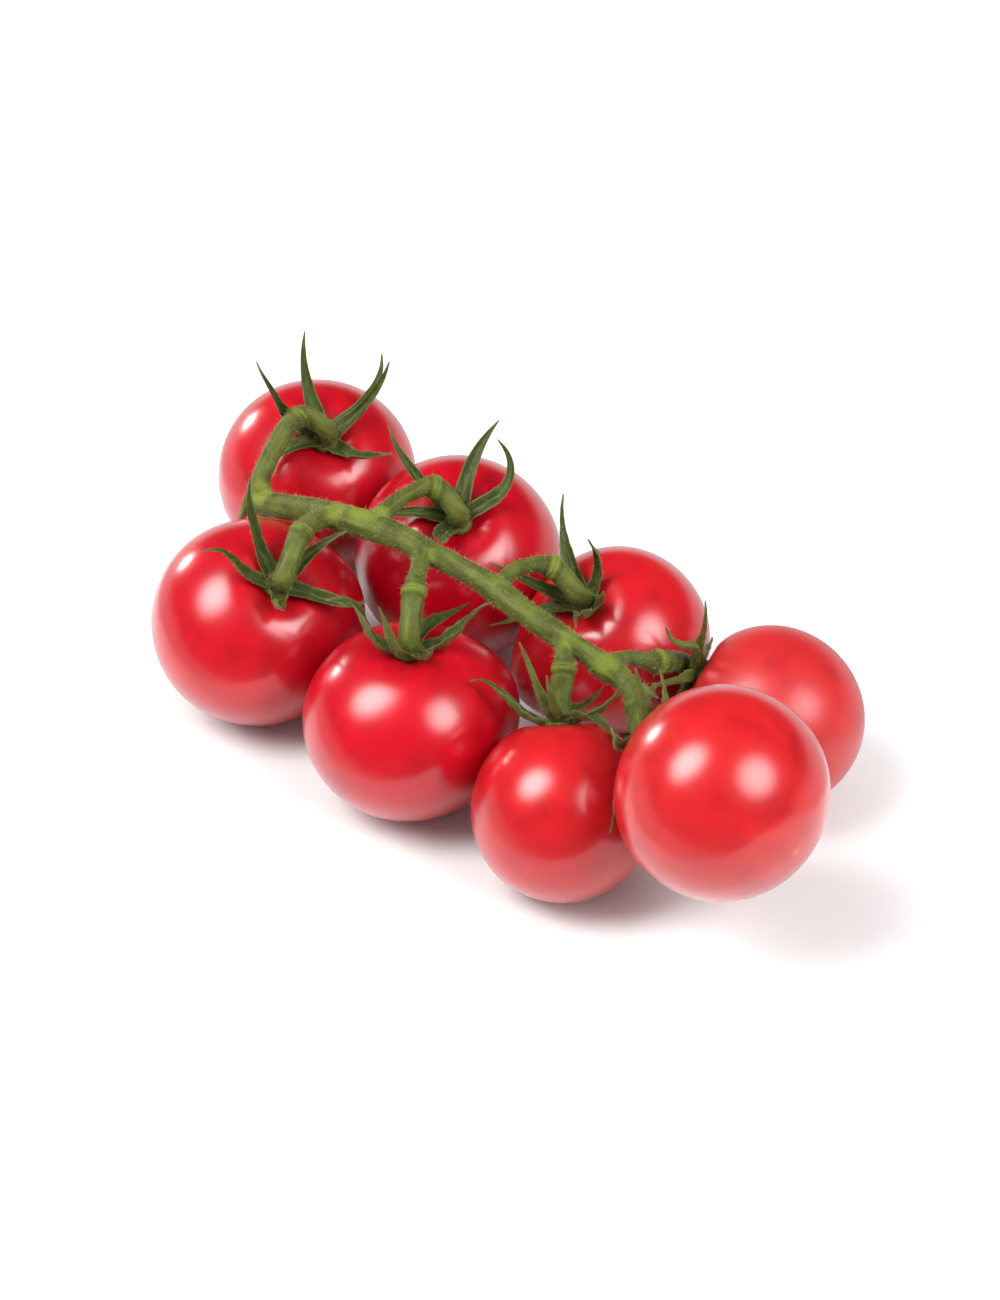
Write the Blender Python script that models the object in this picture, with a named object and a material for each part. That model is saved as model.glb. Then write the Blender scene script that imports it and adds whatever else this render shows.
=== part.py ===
"""Truss of tomatoes: eight ripe vine tomatoes on one main stem, lying as picked.

Metres, +Z up. The truss lies along X with its cut end towards -X. The origin is the middle
of its bounding box, on the surface it lies on. Seven fruits rest on small flat spots, and the
stem holds the eighth up against its neighbour. Each fruit breaks off at the knuckle of its
stalk, so that is where the main stem ends and the fruit's calyx begins.

The tables hold millimetres and degrees.
"""

import math
from typing import NamedTuple

import bmesh
import bpy
from mathutils import Matrix, Vector

MM = 0.001

# The middle of the truss on the surface, in the coordinates of the tables below
TRUSS_MIDDLE = Vector((0.3, -0.5, 0.0))

# Between pieces that touch
GAP = 0.3

# Fruit: shares of its half width, and of its whole turn
FRUIT_SIDES = 24
FRUIT_RINGS = 14
RING_CROWDING = 1.2
FLAT_DEPTH = 0.6
DIMPLE_DEPTH = 0.165
DIMPLE_WIDTH = 0.27
LOBE_COUNT = 5
LOBE_RELIEF = 0.012
LOBE_POLAR = 0.75
LOBE_SPREAD = 0.45
BULGE_SPREAD = math.radians(30)

# Calyx
RECEPTACLE_RADIUS = 4.2
RECEPTACLE_HALF_HEIGHT = 1.6
RECEPTACLE_SIDES = 12
RECEPTACLE_RINGS = 6
SEPAL_ROOT = 1.5
SEPAL_STATIONS = 9
SEPAL_WIDTH = 4.8
SEPAL_TIP_WIDTH = 0.8
SEPAL_THICKNESS = 0.9
SEPAL_TIP_THICKNESS = 0.65
SEPAL_FOLD = 0.14

# Stalks, from the main stem through the knuckle to the fruit
STALK_SIDES = 10
STALK_STEPS = 3
FORK_FLARE = 0.7
KNUCKLE_RADIUS = 3.2
CALYX_STALK_RADIUS = 2.7
HUB_STALK_RADIUS = 3.1
STALK_RISE = 6.0

# Main stem
STEM_SIDES = 12
STEM_STEPS = 5


class Fruit(NamedTuple):
    """Where a fruit lies, its size, which way its stem end leans, and its bulge as a vector."""

    x: float
    y: float
    across: float
    squat: float
    lean: float
    towards: float
    lifted_to: float = 0.0
    bulge: tuple = (0.0, 0.0, 0.0)


class Sepal(NamedTuple):
    """A green blade of the calyx: its heading, and its slope at root, middle and tip."""

    length: float
    turn: float
    root: float
    middle: float
    tip: float
    sweep: float = 0.0
    width: float = SEPAL_WIDTH


class Member(NamedTuple):
    """A fruit with its stalk's points, from the fork to the knuckle, its width, and its sepals."""

    fruit: Fruit
    stalk: tuple
    stalk_across: float
    sepals: tuple


class StemPoint(NamedTuple):
    """A point of the main stem's middle line, and the stem's width there."""

    x: float
    y: float
    z: float
    across: float


MAIN_STEM = (
    StemPoint(-80.3, -5.4, 43.0, 7.0),
    StemPoint(-64.2, -6.0, 49.0, 6.8),
    StemPoint(-51.1, -7.3, 54.0, 7.2),
    StemPoint(-42.1, -8.4, 57.0, 7.8),
    StemPoint(-33.7, -8.2, 58.8, 7.6),
    StemPoint(-24.6, -8.4, 60.0, 6.8),
    StemPoint(-16.0, -9.1, 60.5, 6.6),
    StemPoint(-4.8, -7.8, 59.3, 6.0),
    StemPoint(3.0, -7.3, 58.3, 6.6),
    StemPoint(8.5, -7.3, 57.4, 7.2),
    StemPoint(18.5, -8.0, 56.0, 6.2),
    StemPoint(29.3, -8.3, 54.5, 6.4),
    StemPoint(35.5, -7.1, 52.5, 5.6),
    StemPoint(42.1, -6.3, 50.0, 6.8),
    StemPoint(46.9, -5.1, 48.0, 6.0),
    StemPoint(52.0, -6.4, 47.0, 5.0),
)

# The torn heel under the cut end, and the withered bud at the far end
HEEL = (
    StemPoint(-83.9, -1.4, 45.5, 5.0),
    StemPoint(-83.2, -5.5, 42.0, 3.8),
    StemPoint(-84.0, -9.1, 37.5, 1.6),
)
BUD = (
    StemPoint(51.9, -5.4, 47.3, 3.4),
    StemPoint(54.3, -4.3, 46.6, 3.4),
    StemPoint(56.0, -3.5, 45.6, 2.2),
)

TRUSS = (
    Member(
        Fruit(x=-92.2, y=31.5, across=56.0, squat=0.94, lean=29, towards=-34),
        stalk=((-79.0, -3.9, 44.5), (-81.5, -1.6, 50.5), (-85.4, 17.2, 57.0)),
        stalk_across=4.8,
        sepals=(
            Sepal(length=30, turn=-172, root=4, middle=34, tip=37, sweep=-28, width=5.2),
            Sepal(length=36, turn=-120, root=5, middle=72, tip=30, width=4.4),
            Sepal(length=29, turn=116, root=15, middle=16, tip=30, sweep=70, width=5.4),
            Sepal(length=28, turn=114, root=8, middle=38, tip=42, sweep=42, width=4.4),
            Sepal(length=27, turn=36, root=5, middle=52, tip=22, sweep=28),
            Sepal(length=24, turn=-81, root=20, middle=-5, tip=6, sweep=66),
        ),
    ),
    Member(
        Fruit(x=-59.4, y=-29.2, across=57.0, squat=0.93, lean=31, towards=-13, bulge=(1.0, 1.3, 0.3)),
        stalk=((-45.8, -7.2, 55.5), (-48.4, -13.4, 57.5), (-47.8, -21.8, 58.3)),
        stalk_across=4.8,
        sepals=(
            Sepal(length=30, turn=-175, root=4, middle=42, tip=32, sweep=-31, width=5.4),
            Sepal(length=30, turn=-124, root=5, middle=56, tip=26, sweep=10),
            Sepal(length=22, turn=107, root=24, middle=32, tip=14, sweep=-42),
            Sepal(length=24, turn=41, root=11, middle=18, tip=48, sweep=7, width=5.6),
            Sepal(length=20, turn=-45, root=25, middle=54, tip=68, sweep=-16, width=5.2),
        ),
    ),
    Member(
        Fruit(x=-35.7, y=27.4, across=57.4, squat=0.94, lean=28, towards=-50),
        stalk=((-36.0, -6.4, 58.8), (-35.4, 5.0, 60.5), (-33.5, 15.1, 59.0)),
        stalk_across=3.8,
        sepals=(
            Sepal(length=31, turn=-134, root=8, middle=27, tip=33, sweep=-23, width=4.4),
            Sepal(length=29, turn=168, root=24, middle=10, tip=44, sweep=-45, width=5.8),
            Sepal(length=30, turn=115, root=24, middle=-10, tip=15, sweep=120),
            Sepal(length=24, turn=-97, root=20, middle=6, tip=15, sweep=50),
            Sepal(length=21, turn=-32, root=25, middle=58, tip=35, sweep=90, width=5.4),
        ),
    ),
    Member(
        Fruit(x=-1.5, y=-32.6, across=55.6, squat=0.92, lean=3, towards=110, bulge=(1.1, 1.6, 0.6)),
        stalk=((-16.5, -9.0, 60.5), (-11.5, -16.3, 61.0), (-6.7, -23.8, 60.0)),
        stalk_across=4.0,
        sepals=(
            Sepal(length=31, turn=124, root=12, middle=70, tip=0, width=4.8),
            Sepal(length=25, turn=168, root=26, middle=73, tip=56, sweep=-24, width=4.4),
            Sepal(length=27, turn=-70, root=5, middle=56, tip=41, sweep=-18, width=5.6),
            Sepal(length=24, turn=-12, root=25, middle=-8, tip=18, sweep=-20),
            Sepal(length=16, turn=-130, root=10, middle=45, tip=60, width=4.4),
        ),
    ),
    Member(
        Fruit(x=18.3, y=29.9, across=51.2, squat=0.94, lean=32, towards=-100, bulge=(-2.6, -4.5, -1.6)),
        stalk=((6.3, -5.9, 57.8), (4.9, 4.3, 57.0), (8.0, 14.2, 53.0)),
        stalk_across=3.4,
        sepals=(
            Sepal(length=29, turn=-124, root=25, middle=25, tip=28, sweep=-35, width=5.0),
            Sepal(length=22, turn=-176, root=5, middle=70, tip=98, width=4.6),
            Sepal(length=20, turn=106, root=26, middle=60, tip=48, sweep=-20, width=4.4),
            Sepal(length=27, turn=-64, root=25, middle=46, tip=36, sweep=-13),
            Sepal(length=24, turn=62, root=28, middle=62, tip=-15, sweep=-13),
            Sepal(length=25, turn=-38, root=24, middle=5, tip=41, sweep=8),
        ),
    ),
    Member(
        Fruit(x=50.6, y=-32.3, across=47.8, squat=1.0, lean=40, towards=133),
        stalk=((28.9, -7.6, 54.5), (32.4, -10.8, 53.0), (35.7, -14.3, 51.0)),
        stalk_across=4.0,
        sepals=(
            Sepal(length=26, turn=79, root=5, middle=47, tip=18, width=4.8),
            Sepal(length=28, turn=149, root=25, middle=58, tip=55, sweep=-9, width=4.0),
            Sepal(length=20, turn=167, root=25, middle=39, tip=50, sweep=-6, width=3.6),
            Sepal(length=24, turn=-31, root=24, middle=18, tip=36),
            Sepal(length=24, turn=-138, root=5, middle=25, tip=46, sweep=-6),
            Sepal(length=25, turn=-146, root=24, middle=-20, tip=-24),
        ),
    ),
    Member(
        Fruit(x=94.1, y=-24.3, across=54.2, squat=0.97, lean=87, towards=171, lifted_to=48.1),
        stalk=((51.1, -6.4, 47.2), (53.9, -8.3, 46.9), (57.3, -11.1, 47.2)),
        stalk_across=4.6,
        sepals=(
            Sepal(length=26, turn=58, root=24, middle=-30, tip=-20, width=4.2),
            Sepal(length=22, turn=172, root=10, middle=20, tip=15),
            Sepal(length=20, turn=112, root=20, middle=-20, tip=-45),
            Sepal(length=25, turn=-95, root=26, middle=54, tip=55),
            Sepal(length=19, turn=-50, root=10, middle=5, tip=10),
        ),
    ),
    Member(
        Fruit(x=70.0, y=30.8, across=48.8, squat=1.0, lean=68, towards=-163),
        stalk=((41.7, -5.9, 50.2), (43.9, 1.8, 48.5), (47.7, 9.3, 44.5)),
        stalk_across=3.4,
        sepals=(
            Sepal(length=27, turn=157, root=22, middle=18, tip=64, sweep=-52, width=4.6),
            Sepal(length=26, turn=172, root=26, middle=14, tip=39, width=4.2),
            Sepal(length=22, turn=111, root=12, middle=27, tip=25, sweep=-9),
            Sepal(length=20, turn=64, root=12, middle=4, tip=5),
            Sepal(length=16, turn=14, root=10, middle=0, tip=-5),
            Sepal(length=18, turn=-80, root=10, middle=5, tip=10),
        ),
    ),
)


def clear_scene():
    """Removes what the scene holds at the start."""
    for thing in list(bpy.data.objects):
        bpy.data.objects.remove(thing, do_unlink=True)


def make_material(name, colour, roughness):
    """A Principled material with one colour and no metal."""
    material = bpy.data.materials.new(name)
    material.use_nodes = True
    shader = material.node_tree.nodes["Principled BSDF"]
    shader.inputs["Base Color"].default_value = (*colour, 1.0)
    shader.inputs["Roughness"].default_value = roughness
    shader.inputs["Metallic"].default_value = 0.0
    return material


def make_object(name, mesh_builder):
    """An object in the scene whose mesh the bmesh becomes, with millimetres turned to metres."""
    mesh_builder.transform(Matrix.Scale(MM, 4))
    bmesh.ops.recalc_face_normals(mesh_builder, faces=mesh_builder.faces)
    mesh = bpy.data.meshes.new(name)
    mesh_builder.to_mesh(mesh)
    mesh_builder.free()
    thing = bpy.data.objects.new(name, mesh)
    bpy.context.scene.collection.objects.link(thing)
    return thing


def join_as_one(name, pieces, material):
    """One body made from overlapping closed pieces by a Boolean union."""
    body = pieces[0]
    body.name = name
    others = bpy.data.collections.new(name + "_pieces")
    bpy.context.scene.collection.children.link(others)
    for piece in pieces[1:]:
        bpy.context.scene.collection.objects.unlink(piece)
        others.objects.link(piece)
    union = body.modifiers.new("union", "BOOLEAN")
    union.operation = "UNION"
    union.operand_type = "COLLECTION"
    union.collection = others
    union.solver = "EXACT"
    bpy.context.view_layer.update()
    evaluated = body.evaluated_get(bpy.context.evaluated_depsgraph_get())
    body.data = bpy.data.meshes.new_from_object(evaluated)
    body.data.name = name
    body.modifiers.clear()
    for piece in list(others.objects):
        bpy.data.objects.remove(piece, do_unlink=True)
    bpy.data.collections.remove(others)
    finish(body, material)
    return body


def finish(thing, material):
    """Gives an object its material and smooth shading, with its true corners kept."""
    thing.data.materials.clear()
    thing.data.materials.append(material)
    thing.data.shade_smooth()
    thing.data.set_sharp_from_angle(angle=math.radians(50))


def bridge_rings(builder, rings):
    """Faces between each ring and the next, and over the two ends."""
    for near, far in zip(rings, rings[1:]):
        for side in range(len(near)):
            after = (side + 1) % len(near)
            builder.faces.new((near[side], near[after], far[after], far[side]))
    builder.faces.new(rings[0])
    builder.faces.new(rings[-1])


def smooth_route(points, steps):
    """Points on a smooth curve through the given points, with so many steps from each to the next."""
    ends = [2 * points[0] - points[1], *points, 2 * points[-1] - points[-2]]
    route = []
    for before, start, end, after in zip(ends, ends[1:], ends[2:], ends[3:]):
        for step in range(steps):
            t = step / steps
            bend = (2 * before - 5 * start + 4 * end - after) * t * t
            twist = (3 * start - before - 3 * end + after) * t * t * t
            route.append(0.5 * (2 * start + (end - before) * t + bend + twist))
    route.append(points[-1].copy())
    return route


def tangent_at(route, index):
    """The direction of the route at one of its points."""
    before = route[max(index - 1, 0)]
    after = route[min(index + 1, len(route) - 1)]
    return (after - before).normalized()


def directions_of(route):
    """The direction of the route at each of its points."""
    return [tangent_at(route, index) for index in range(len(route))]


def make_tube(name, route, directions, radii, sides):
    """A closed round tube along the route, with its own radius at each point."""
    builder = bmesh.new()
    across = directions[0].orthogonal().normalized()
    rings = []
    for middle, along, radius in zip(route, directions, radii):
        across = (across - along * across.dot(along)).normalized()
        over = along.cross(across)
        ring = []
        for side in range(sides):
            angle = math.tau * side / sides
            outwards = math.cos(angle) * across + math.sin(angle) * over
            ring.append(builder.verts.new(middle + radius * outwards))
        rings.append(ring)
    bridge_rings(builder, rings)
    return make_object(name, builder)


def stem_tube(name, stem_points):
    """A tube through stem points, whose width runs smoothly from each point to the next."""
    places = [Vector(point[:3]) - TRUSS_MIDDLE for point in stem_points]
    widths = [Vector((point.across / 2, 0, 0)) for point in stem_points]
    radii = [width.x for width in smooth_route(widths, STEM_STEPS)]
    route = smooth_route(places, STEM_STEPS)
    return make_tube(name, route, directions_of(route), radii, STEM_SIDES)


def fruit_profile(fruit, polar):
    """Distance from the fruit's axis and height along it, at an angle from the stem end."""
    half = fruit.across / 2
    out = half * math.sin(polar)
    up = fruit.squat * half * math.cos(polar)
    if polar < math.pi / 2:
        up -= DIMPLE_DEPTH * half * math.exp(-((out / (DIMPLE_WIDTH * half)) ** 2))
    return out, up


def lobe_factor(polar, turn):
    """How much the shoulders of a fruit stand out at a turn round its axis."""
    strength = math.exp(-(((polar - LOBE_POLAR) / LOBE_SPREAD) ** 2))
    return 1 + LOBE_RELIEF * strength * math.cos(LOBE_COUNT * turn)


def centre_height(fruit):
    """Height of the fruit's centre above the surface, with its flat spot pressed down on it."""
    if fruit.lifted_to:
        return fruit.lifted_to
    lean = math.radians(fruit.lean)
    lowest = 0.0
    for step in range(181):
        out, up = fruit_profile(fruit, math.radians(step))
        lowest = min(lowest, up * math.cos(lean) - out * math.sin(lean))
    return -lowest - FLAT_DEPTH


def fruit_frame(fruit):
    """The matrix from the fruit's own axes, +Z out of its stem end, to the truss's."""
    place = Vector((fruit.x, fruit.y, centre_height(fruit))) - TRUSS_MIDDLE
    turned = Matrix.Rotation(math.radians(fruit.towards), 4, "Z")
    leaned = Matrix.Rotation(math.radians(fruit.lean), 4, "Y")
    return Matrix.Translation(place) @ turned @ leaned


def swell(builder, bulge):
    """Moves each point of a fruit's skin by the fruit's bulge, as far as it lies that way."""
    for vert in builder.verts:
        vert.co += bulge * math.exp(-((vert.co.angle(bulge) / BULGE_SPREAD) ** 2))


def make_fruit(name, fruit, skin):
    """A tomato with its stem dimple and faint shoulders, and a flat spot where it rests."""
    builder = bmesh.new()
    rings = []
    for ring_index in range(1, FRUIT_RINGS + 1):
        polar = math.pi * (ring_index / (FRUIT_RINGS + 1)) ** RING_CROWDING
        out, up = fruit_profile(fruit, polar)
        ring = []
        for side in range(FRUIT_SIDES):
            turn = math.tau * side / FRUIT_SIDES
            reach = out * lobe_factor(polar, turn)
            ring.append(builder.verts.new((reach * math.cos(turn), reach * math.sin(turn), up)))
        rings.append(ring)
    bridge_rings(builder, rings)
    close_pole(builder, rings[0], fruit_profile(fruit, 0.0)[1])
    close_pole(builder, rings[-1], fruit_profile(fruit, math.pi)[1])

    frame = fruit_frame(fruit)
    if any(fruit.bulge):
        swell(builder, frame.inverted().to_3x3() @ Vector(fruit.bulge))
    cut_flat_spot(builder, frame.inverted())
    tomato = make_object(name, builder)
    tomato.location = frame.translation * MM
    tomato.rotation_euler = frame.to_euler()
    finish(tomato, skin)
    return tomato


def close_pole(builder, ring, height):
    """Replaces the flat face over a ring by a fan to a point on the axis."""
    cap = [face for face in ring[0].link_faces if len(face.verts) == len(ring)]
    bmesh.ops.poke(builder, faces=cap)
    pole = ring[0].link_edges
    middles = [edge.other_vert(ring[0]) for edge in pole if edge.other_vert(ring[0]).co.xy.length < 1e-4]
    middles[0].co = (0.0, 0.0, height)


def cut_flat_spot(builder, to_fruit):
    """Cuts off what lies below the surface, and closes the cut."""
    surface = to_fruit @ Vector((0, 0, 0))
    downwards = to_fruit.to_3x3() @ Vector((0, 0, -1))
    everything = [*builder.verts, *builder.edges, *builder.faces]
    cut = bmesh.ops.bisect_plane(
        builder, geom=everything, plane_co=surface, plane_no=downwards, clear_outer=True
    )
    rim = [piece for piece in cut["geom_cut"] if isinstance(piece, bmesh.types.BMEdge)]
    bmesh.ops.contextual_create(builder, geom=rim)


def hub_height(fruit):
    """Height of the receptacle's middle along the fruit's axis."""
    return fruit_profile(fruit, 0.0)[1] + GAP + RECEPTACLE_HALF_HEIGHT


def stalk_route(member):
    """The whole stalk's route, and how many of its points lie before the knuckle."""
    frame = fruit_frame(member.fruit)
    hub = frame @ Vector((0, 0, hub_height(member.fruit)))
    above_hub = frame @ Vector((0, 0, hub_height(member.fruit) + STALK_RISE))
    points = [Vector(point) - TRUSS_MIDDLE for point in member.stalk]
    route = smooth_route([*points, above_hub, hub], STALK_STEPS)
    return route, (len(points) - 1) * STALK_STEPS


def split_stalk(member):
    """The stalk's points and directions up to the knuckle, and the same on from it, past the gap."""
    route, knuckle = stalk_route(member)
    directions = directions_of(route)
    half_gap = directions[knuckle] * GAP / 2
    to_knuckle = [*route[:knuckle], route[knuckle] - half_gap]
    from_knuckle = [route[knuckle] + half_gap, *route[knuckle + 1 :]]
    return (to_knuckle, directions[: knuckle + 1]), (from_knuckle, directions[knuckle:])


def blend(start, end, share):
    """A value between two others."""
    return start + (end - start) * share


def make_fork_stalk(name, member):
    """The stalk from the main stem to the knuckle, where it swells."""
    (route, directions), _ = split_stalk(member)
    thin = member.stalk_across / 2
    radii = []
    for index in range(len(route)):
        share = index / (len(route) - 1)
        swelling = (KNUCKLE_RADIUS - thin) * share**4
        radii.append(thin + swelling + FORK_FLARE * (1 - share) ** 2)
    return make_tube(name, route, directions, radii, STALK_SIDES)


def make_calyx_stalk(name, member):
    """The stalk from the knuckle to the receptacle."""
    _, (route, directions) = split_stalk(member)
    radii = []
    for index in range(len(route)):
        share = index / (len(route) - 1)
        swelling = (KNUCKLE_RADIUS - CALYX_STALK_RADIUS) * (1 - share) ** 4
        flare = (HUB_STALK_RADIUS - CALYX_STALK_RADIUS) * share**3
        radii.append(CALYX_STALK_RADIUS + swelling + flare)
    return make_tube(name, route, directions, radii, STALK_SIDES)


def make_receptacle(name, fruit):
    """The flattened ball that the sepals grow from, lying in the fruit's dimple."""
    builder = bmesh.new()
    bmesh.ops.create_uvsphere(
        builder, u_segments=RECEPTACLE_SIDES, v_segments=RECEPTACLE_RINGS, radius=RECEPTACLE_RADIUS
    )
    flatten = Matrix.Scale(RECEPTACLE_HALF_HEIGHT / RECEPTACLE_RADIUS, 4, Vector((0, 0, 1)))
    raised = Matrix.Translation((0, 0, hub_height(fruit)))
    builder.transform(fruit_frame(fruit) @ raised @ flatten)
    return make_object(name, builder)


def sepal_slope(sepal, share):
    """The blade's slope at a share of its length: a smooth run through root, middle and tip."""
    first = -3 * sepal.root + 4 * sepal.middle - sepal.tip
    second = 2 * sepal.root - 4 * sepal.middle + 2 * sepal.tip
    return math.radians(sepal.root + first * share + second * share * share)


def make_sepal(name, sepal, fruit):
    """A pointed blade with a raised fold along each side of its middle rib."""
    builder = bmesh.new()
    heading = math.radians(sepal.turn)
    step = sepal.length / (SEPAL_STATIONS - 1)
    middle = Vector((SEPAL_ROOT * math.cos(heading), SEPAL_ROOT * math.sin(heading), hub_height(fruit)))
    rings = []
    for station in range(SEPAL_STATIONS):
        share = station / (SEPAL_STATIONS - 1)
        slope = sepal_slope(sepal, share)
        heading = math.radians(sepal.turn + sepal.sweep * share * share)
        level = Vector((math.cos(heading), math.sin(heading), 0))
        along = level * math.cos(slope) + Vector((0, 0, math.sin(slope)))
        aside = Vector((-math.sin(heading), math.cos(heading), 0))
        over = along.cross(aside)
        width = blend(SEPAL_TIP_WIDTH, sepal.width, (1 - share) ** 1.1 * (1 + 0.6 * share))
        thickness = blend(SEPAL_THICKNESS, SEPAL_TIP_THICKNESS, share)
        fold = SEPAL_FOLD * width
        section = (
            middle + aside * width / 2 + over * fold,
            middle + over * thickness / 2,
            middle - aside * width / 2 + over * fold,
            middle - over * thickness / 2,
        )
        rings.append([builder.verts.new(corner) for corner in section])
        middle = middle + along * step
    bridge_rings(builder, rings)
    builder.transform(fruit_frame(fruit))
    return make_object(name, builder)


def make_calyx(name, member, green):
    """One calyx: its stalk, receptacle and sepals as one body."""
    pieces = [make_receptacle(name, member.fruit), make_calyx_stalk(name + "_stalk", member)]
    for number, sepal in enumerate(member.sepals, start=1):
        pieces.append(make_sepal(f"{name}_sepal_{number}", sepal, member.fruit))
    return join_as_one(name, pieces, green)


def make_vine_stem(name, green):
    """The main stem with its stalks, torn heel and withered bud as one body."""
    pieces = [stem_tube(name, MAIN_STEM), stem_tube(name + "_heel", HEEL), stem_tube(name + "_bud", BUD)]
    for number, member in enumerate(TRUSS, start=1):
        pieces.append(make_fork_stalk(f"{name}_stalk_{number}", member))
    return join_as_one(name, pieces, green)


def main():
    """Builds the truss: the main stem, then each fruit with its calyx."""
    clear_scene()
    skin = make_material("ripe tomato skin", (0.72, 0.012, 0.02), 0.22)
    stem_green = make_material("vine stem", (0.17, 0.23, 0.07), 0.6)
    calyx_green = make_material("calyx", (0.11, 0.19, 0.05), 0.6)
    make_vine_stem("vine_stem", stem_green)
    for number, member in enumerate(TRUSS, start=1):
        make_fruit(f"tomato_{number}", member.fruit, skin)
        make_calyx(f"calyx_{number}", member, calyx_green)


main()
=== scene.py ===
"""A truss of ripe vine tomatoes, dressed for the camera.

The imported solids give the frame. Each fruit, calyx and the main stem is replaced by a finer piece
of the same form, built from the same named values in millimetres, and the green pieces get the
fine pale hairs of the real plant. Everything rides on the one body, "root".
"""

import logging
import math
import random
from dataclasses import dataclass, field
from enum import Enum
from typing import Any, Iterable, Sequence

import bmesh
import bpy
import numpy as np
from mathutils import Matrix, Vector, noise
from mathutils.kdtree import KDTree


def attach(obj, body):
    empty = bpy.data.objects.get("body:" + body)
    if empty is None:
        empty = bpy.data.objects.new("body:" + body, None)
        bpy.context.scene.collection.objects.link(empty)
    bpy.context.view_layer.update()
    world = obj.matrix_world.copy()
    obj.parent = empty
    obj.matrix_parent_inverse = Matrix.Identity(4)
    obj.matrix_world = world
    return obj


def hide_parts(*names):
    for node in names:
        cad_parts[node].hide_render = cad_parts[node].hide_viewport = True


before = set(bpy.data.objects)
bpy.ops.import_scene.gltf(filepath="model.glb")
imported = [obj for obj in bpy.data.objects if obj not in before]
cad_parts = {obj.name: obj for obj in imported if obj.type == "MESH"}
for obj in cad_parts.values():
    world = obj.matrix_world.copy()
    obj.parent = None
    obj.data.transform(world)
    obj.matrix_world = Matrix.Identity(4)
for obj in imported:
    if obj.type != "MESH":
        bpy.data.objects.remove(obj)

log = logging.getLogger("truss")

MM = 0.001
BODY = "root"

# The middle of the truss on the surface, in the coordinates of the tables below
TRUSS_MIDDLE = Vector((0.3, -0.5, 0.0))

# Between pieces that touch
GAP = 0.3

Faces = list[tuple[int, ...]]


# ---------------------------------------------------------------------------------------------
# The truss: where each part of it lies


class Slot(Enum):
    """The record's material slots."""

    SKIN = "tomato_skin"
    STEM = "vine_stem"
    CALYX = "calyx"


@dataclass(frozen=True)
class Fruit:
    """Where a fruit lies, its size in mm, which way its stem end leans, and its bulge in mm."""

    x: float
    y: float
    across: float
    squat: float
    lean: float
    towards: float
    lifted_to: float = 0.0
    bulge: tuple[float, float, float] = (0.0, 0.0, 0.0)


@dataclass(frozen=True)
class Sepal:
    """A green blade of the calyx: its heading, and its slope at root, middle and tip."""

    length: float
    turn: float
    root: float
    middle: float
    tip: float
    sweep: float = 0.0
    width: float = 4.8


@dataclass(frozen=True)
class Member:
    """A fruit with its stalk's points, from the fork to the knuckle, its width, and its sepals."""

    fruit: Fruit
    stalk: tuple[tuple[float, float, float], ...]
    stalk_across: float
    sepals: tuple[Sepal, ...]


@dataclass(frozen=True)
class StemPoint:
    """A point of the main stem's middle line, and the stem's width there, in mm."""

    x: float
    y: float
    z: float
    across: float


MAIN_STEM = (
    StemPoint(-80.3, -5.4, 43.0, 7.0),
    StemPoint(-64.2, -6.0, 49.0, 6.8),
    StemPoint(-51.1, -7.3, 54.0, 7.2),
    StemPoint(-42.1, -8.4, 57.0, 7.8),
    StemPoint(-33.7, -8.2, 58.8, 7.6),
    StemPoint(-24.6, -8.4, 60.0, 6.8),
    StemPoint(-16.0, -9.1, 60.5, 6.6),
    StemPoint(-4.8, -7.8, 59.3, 6.0),
    StemPoint(3.0, -7.3, 58.3, 6.6),
    StemPoint(8.5, -7.3, 57.4, 7.2),
    StemPoint(18.5, -8.0, 56.0, 6.2),
    StemPoint(29.3, -8.3, 54.5, 6.4),
    StemPoint(35.5, -7.1, 52.5, 5.6),
    StemPoint(42.1, -6.3, 50.0, 6.8),
    StemPoint(46.9, -5.1, 48.0, 6.0),
    StemPoint(52.0, -6.4, 47.0, 5.0),
)

# The torn heel under the cut end, and the withered bud at the far end
HEEL = (
    StemPoint(-83.9, -1.4, 45.5, 5.0),
    StemPoint(-83.2, -5.5, 42.0, 3.8),
    StemPoint(-84.0, -9.1, 37.5, 1.6),
)
BUD = (
    StemPoint(51.9, -5.4, 47.3, 3.4),
    StemPoint(54.3, -4.3, 46.6, 3.4),
    StemPoint(56.0, -3.5, 45.6, 2.2),
)

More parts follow.
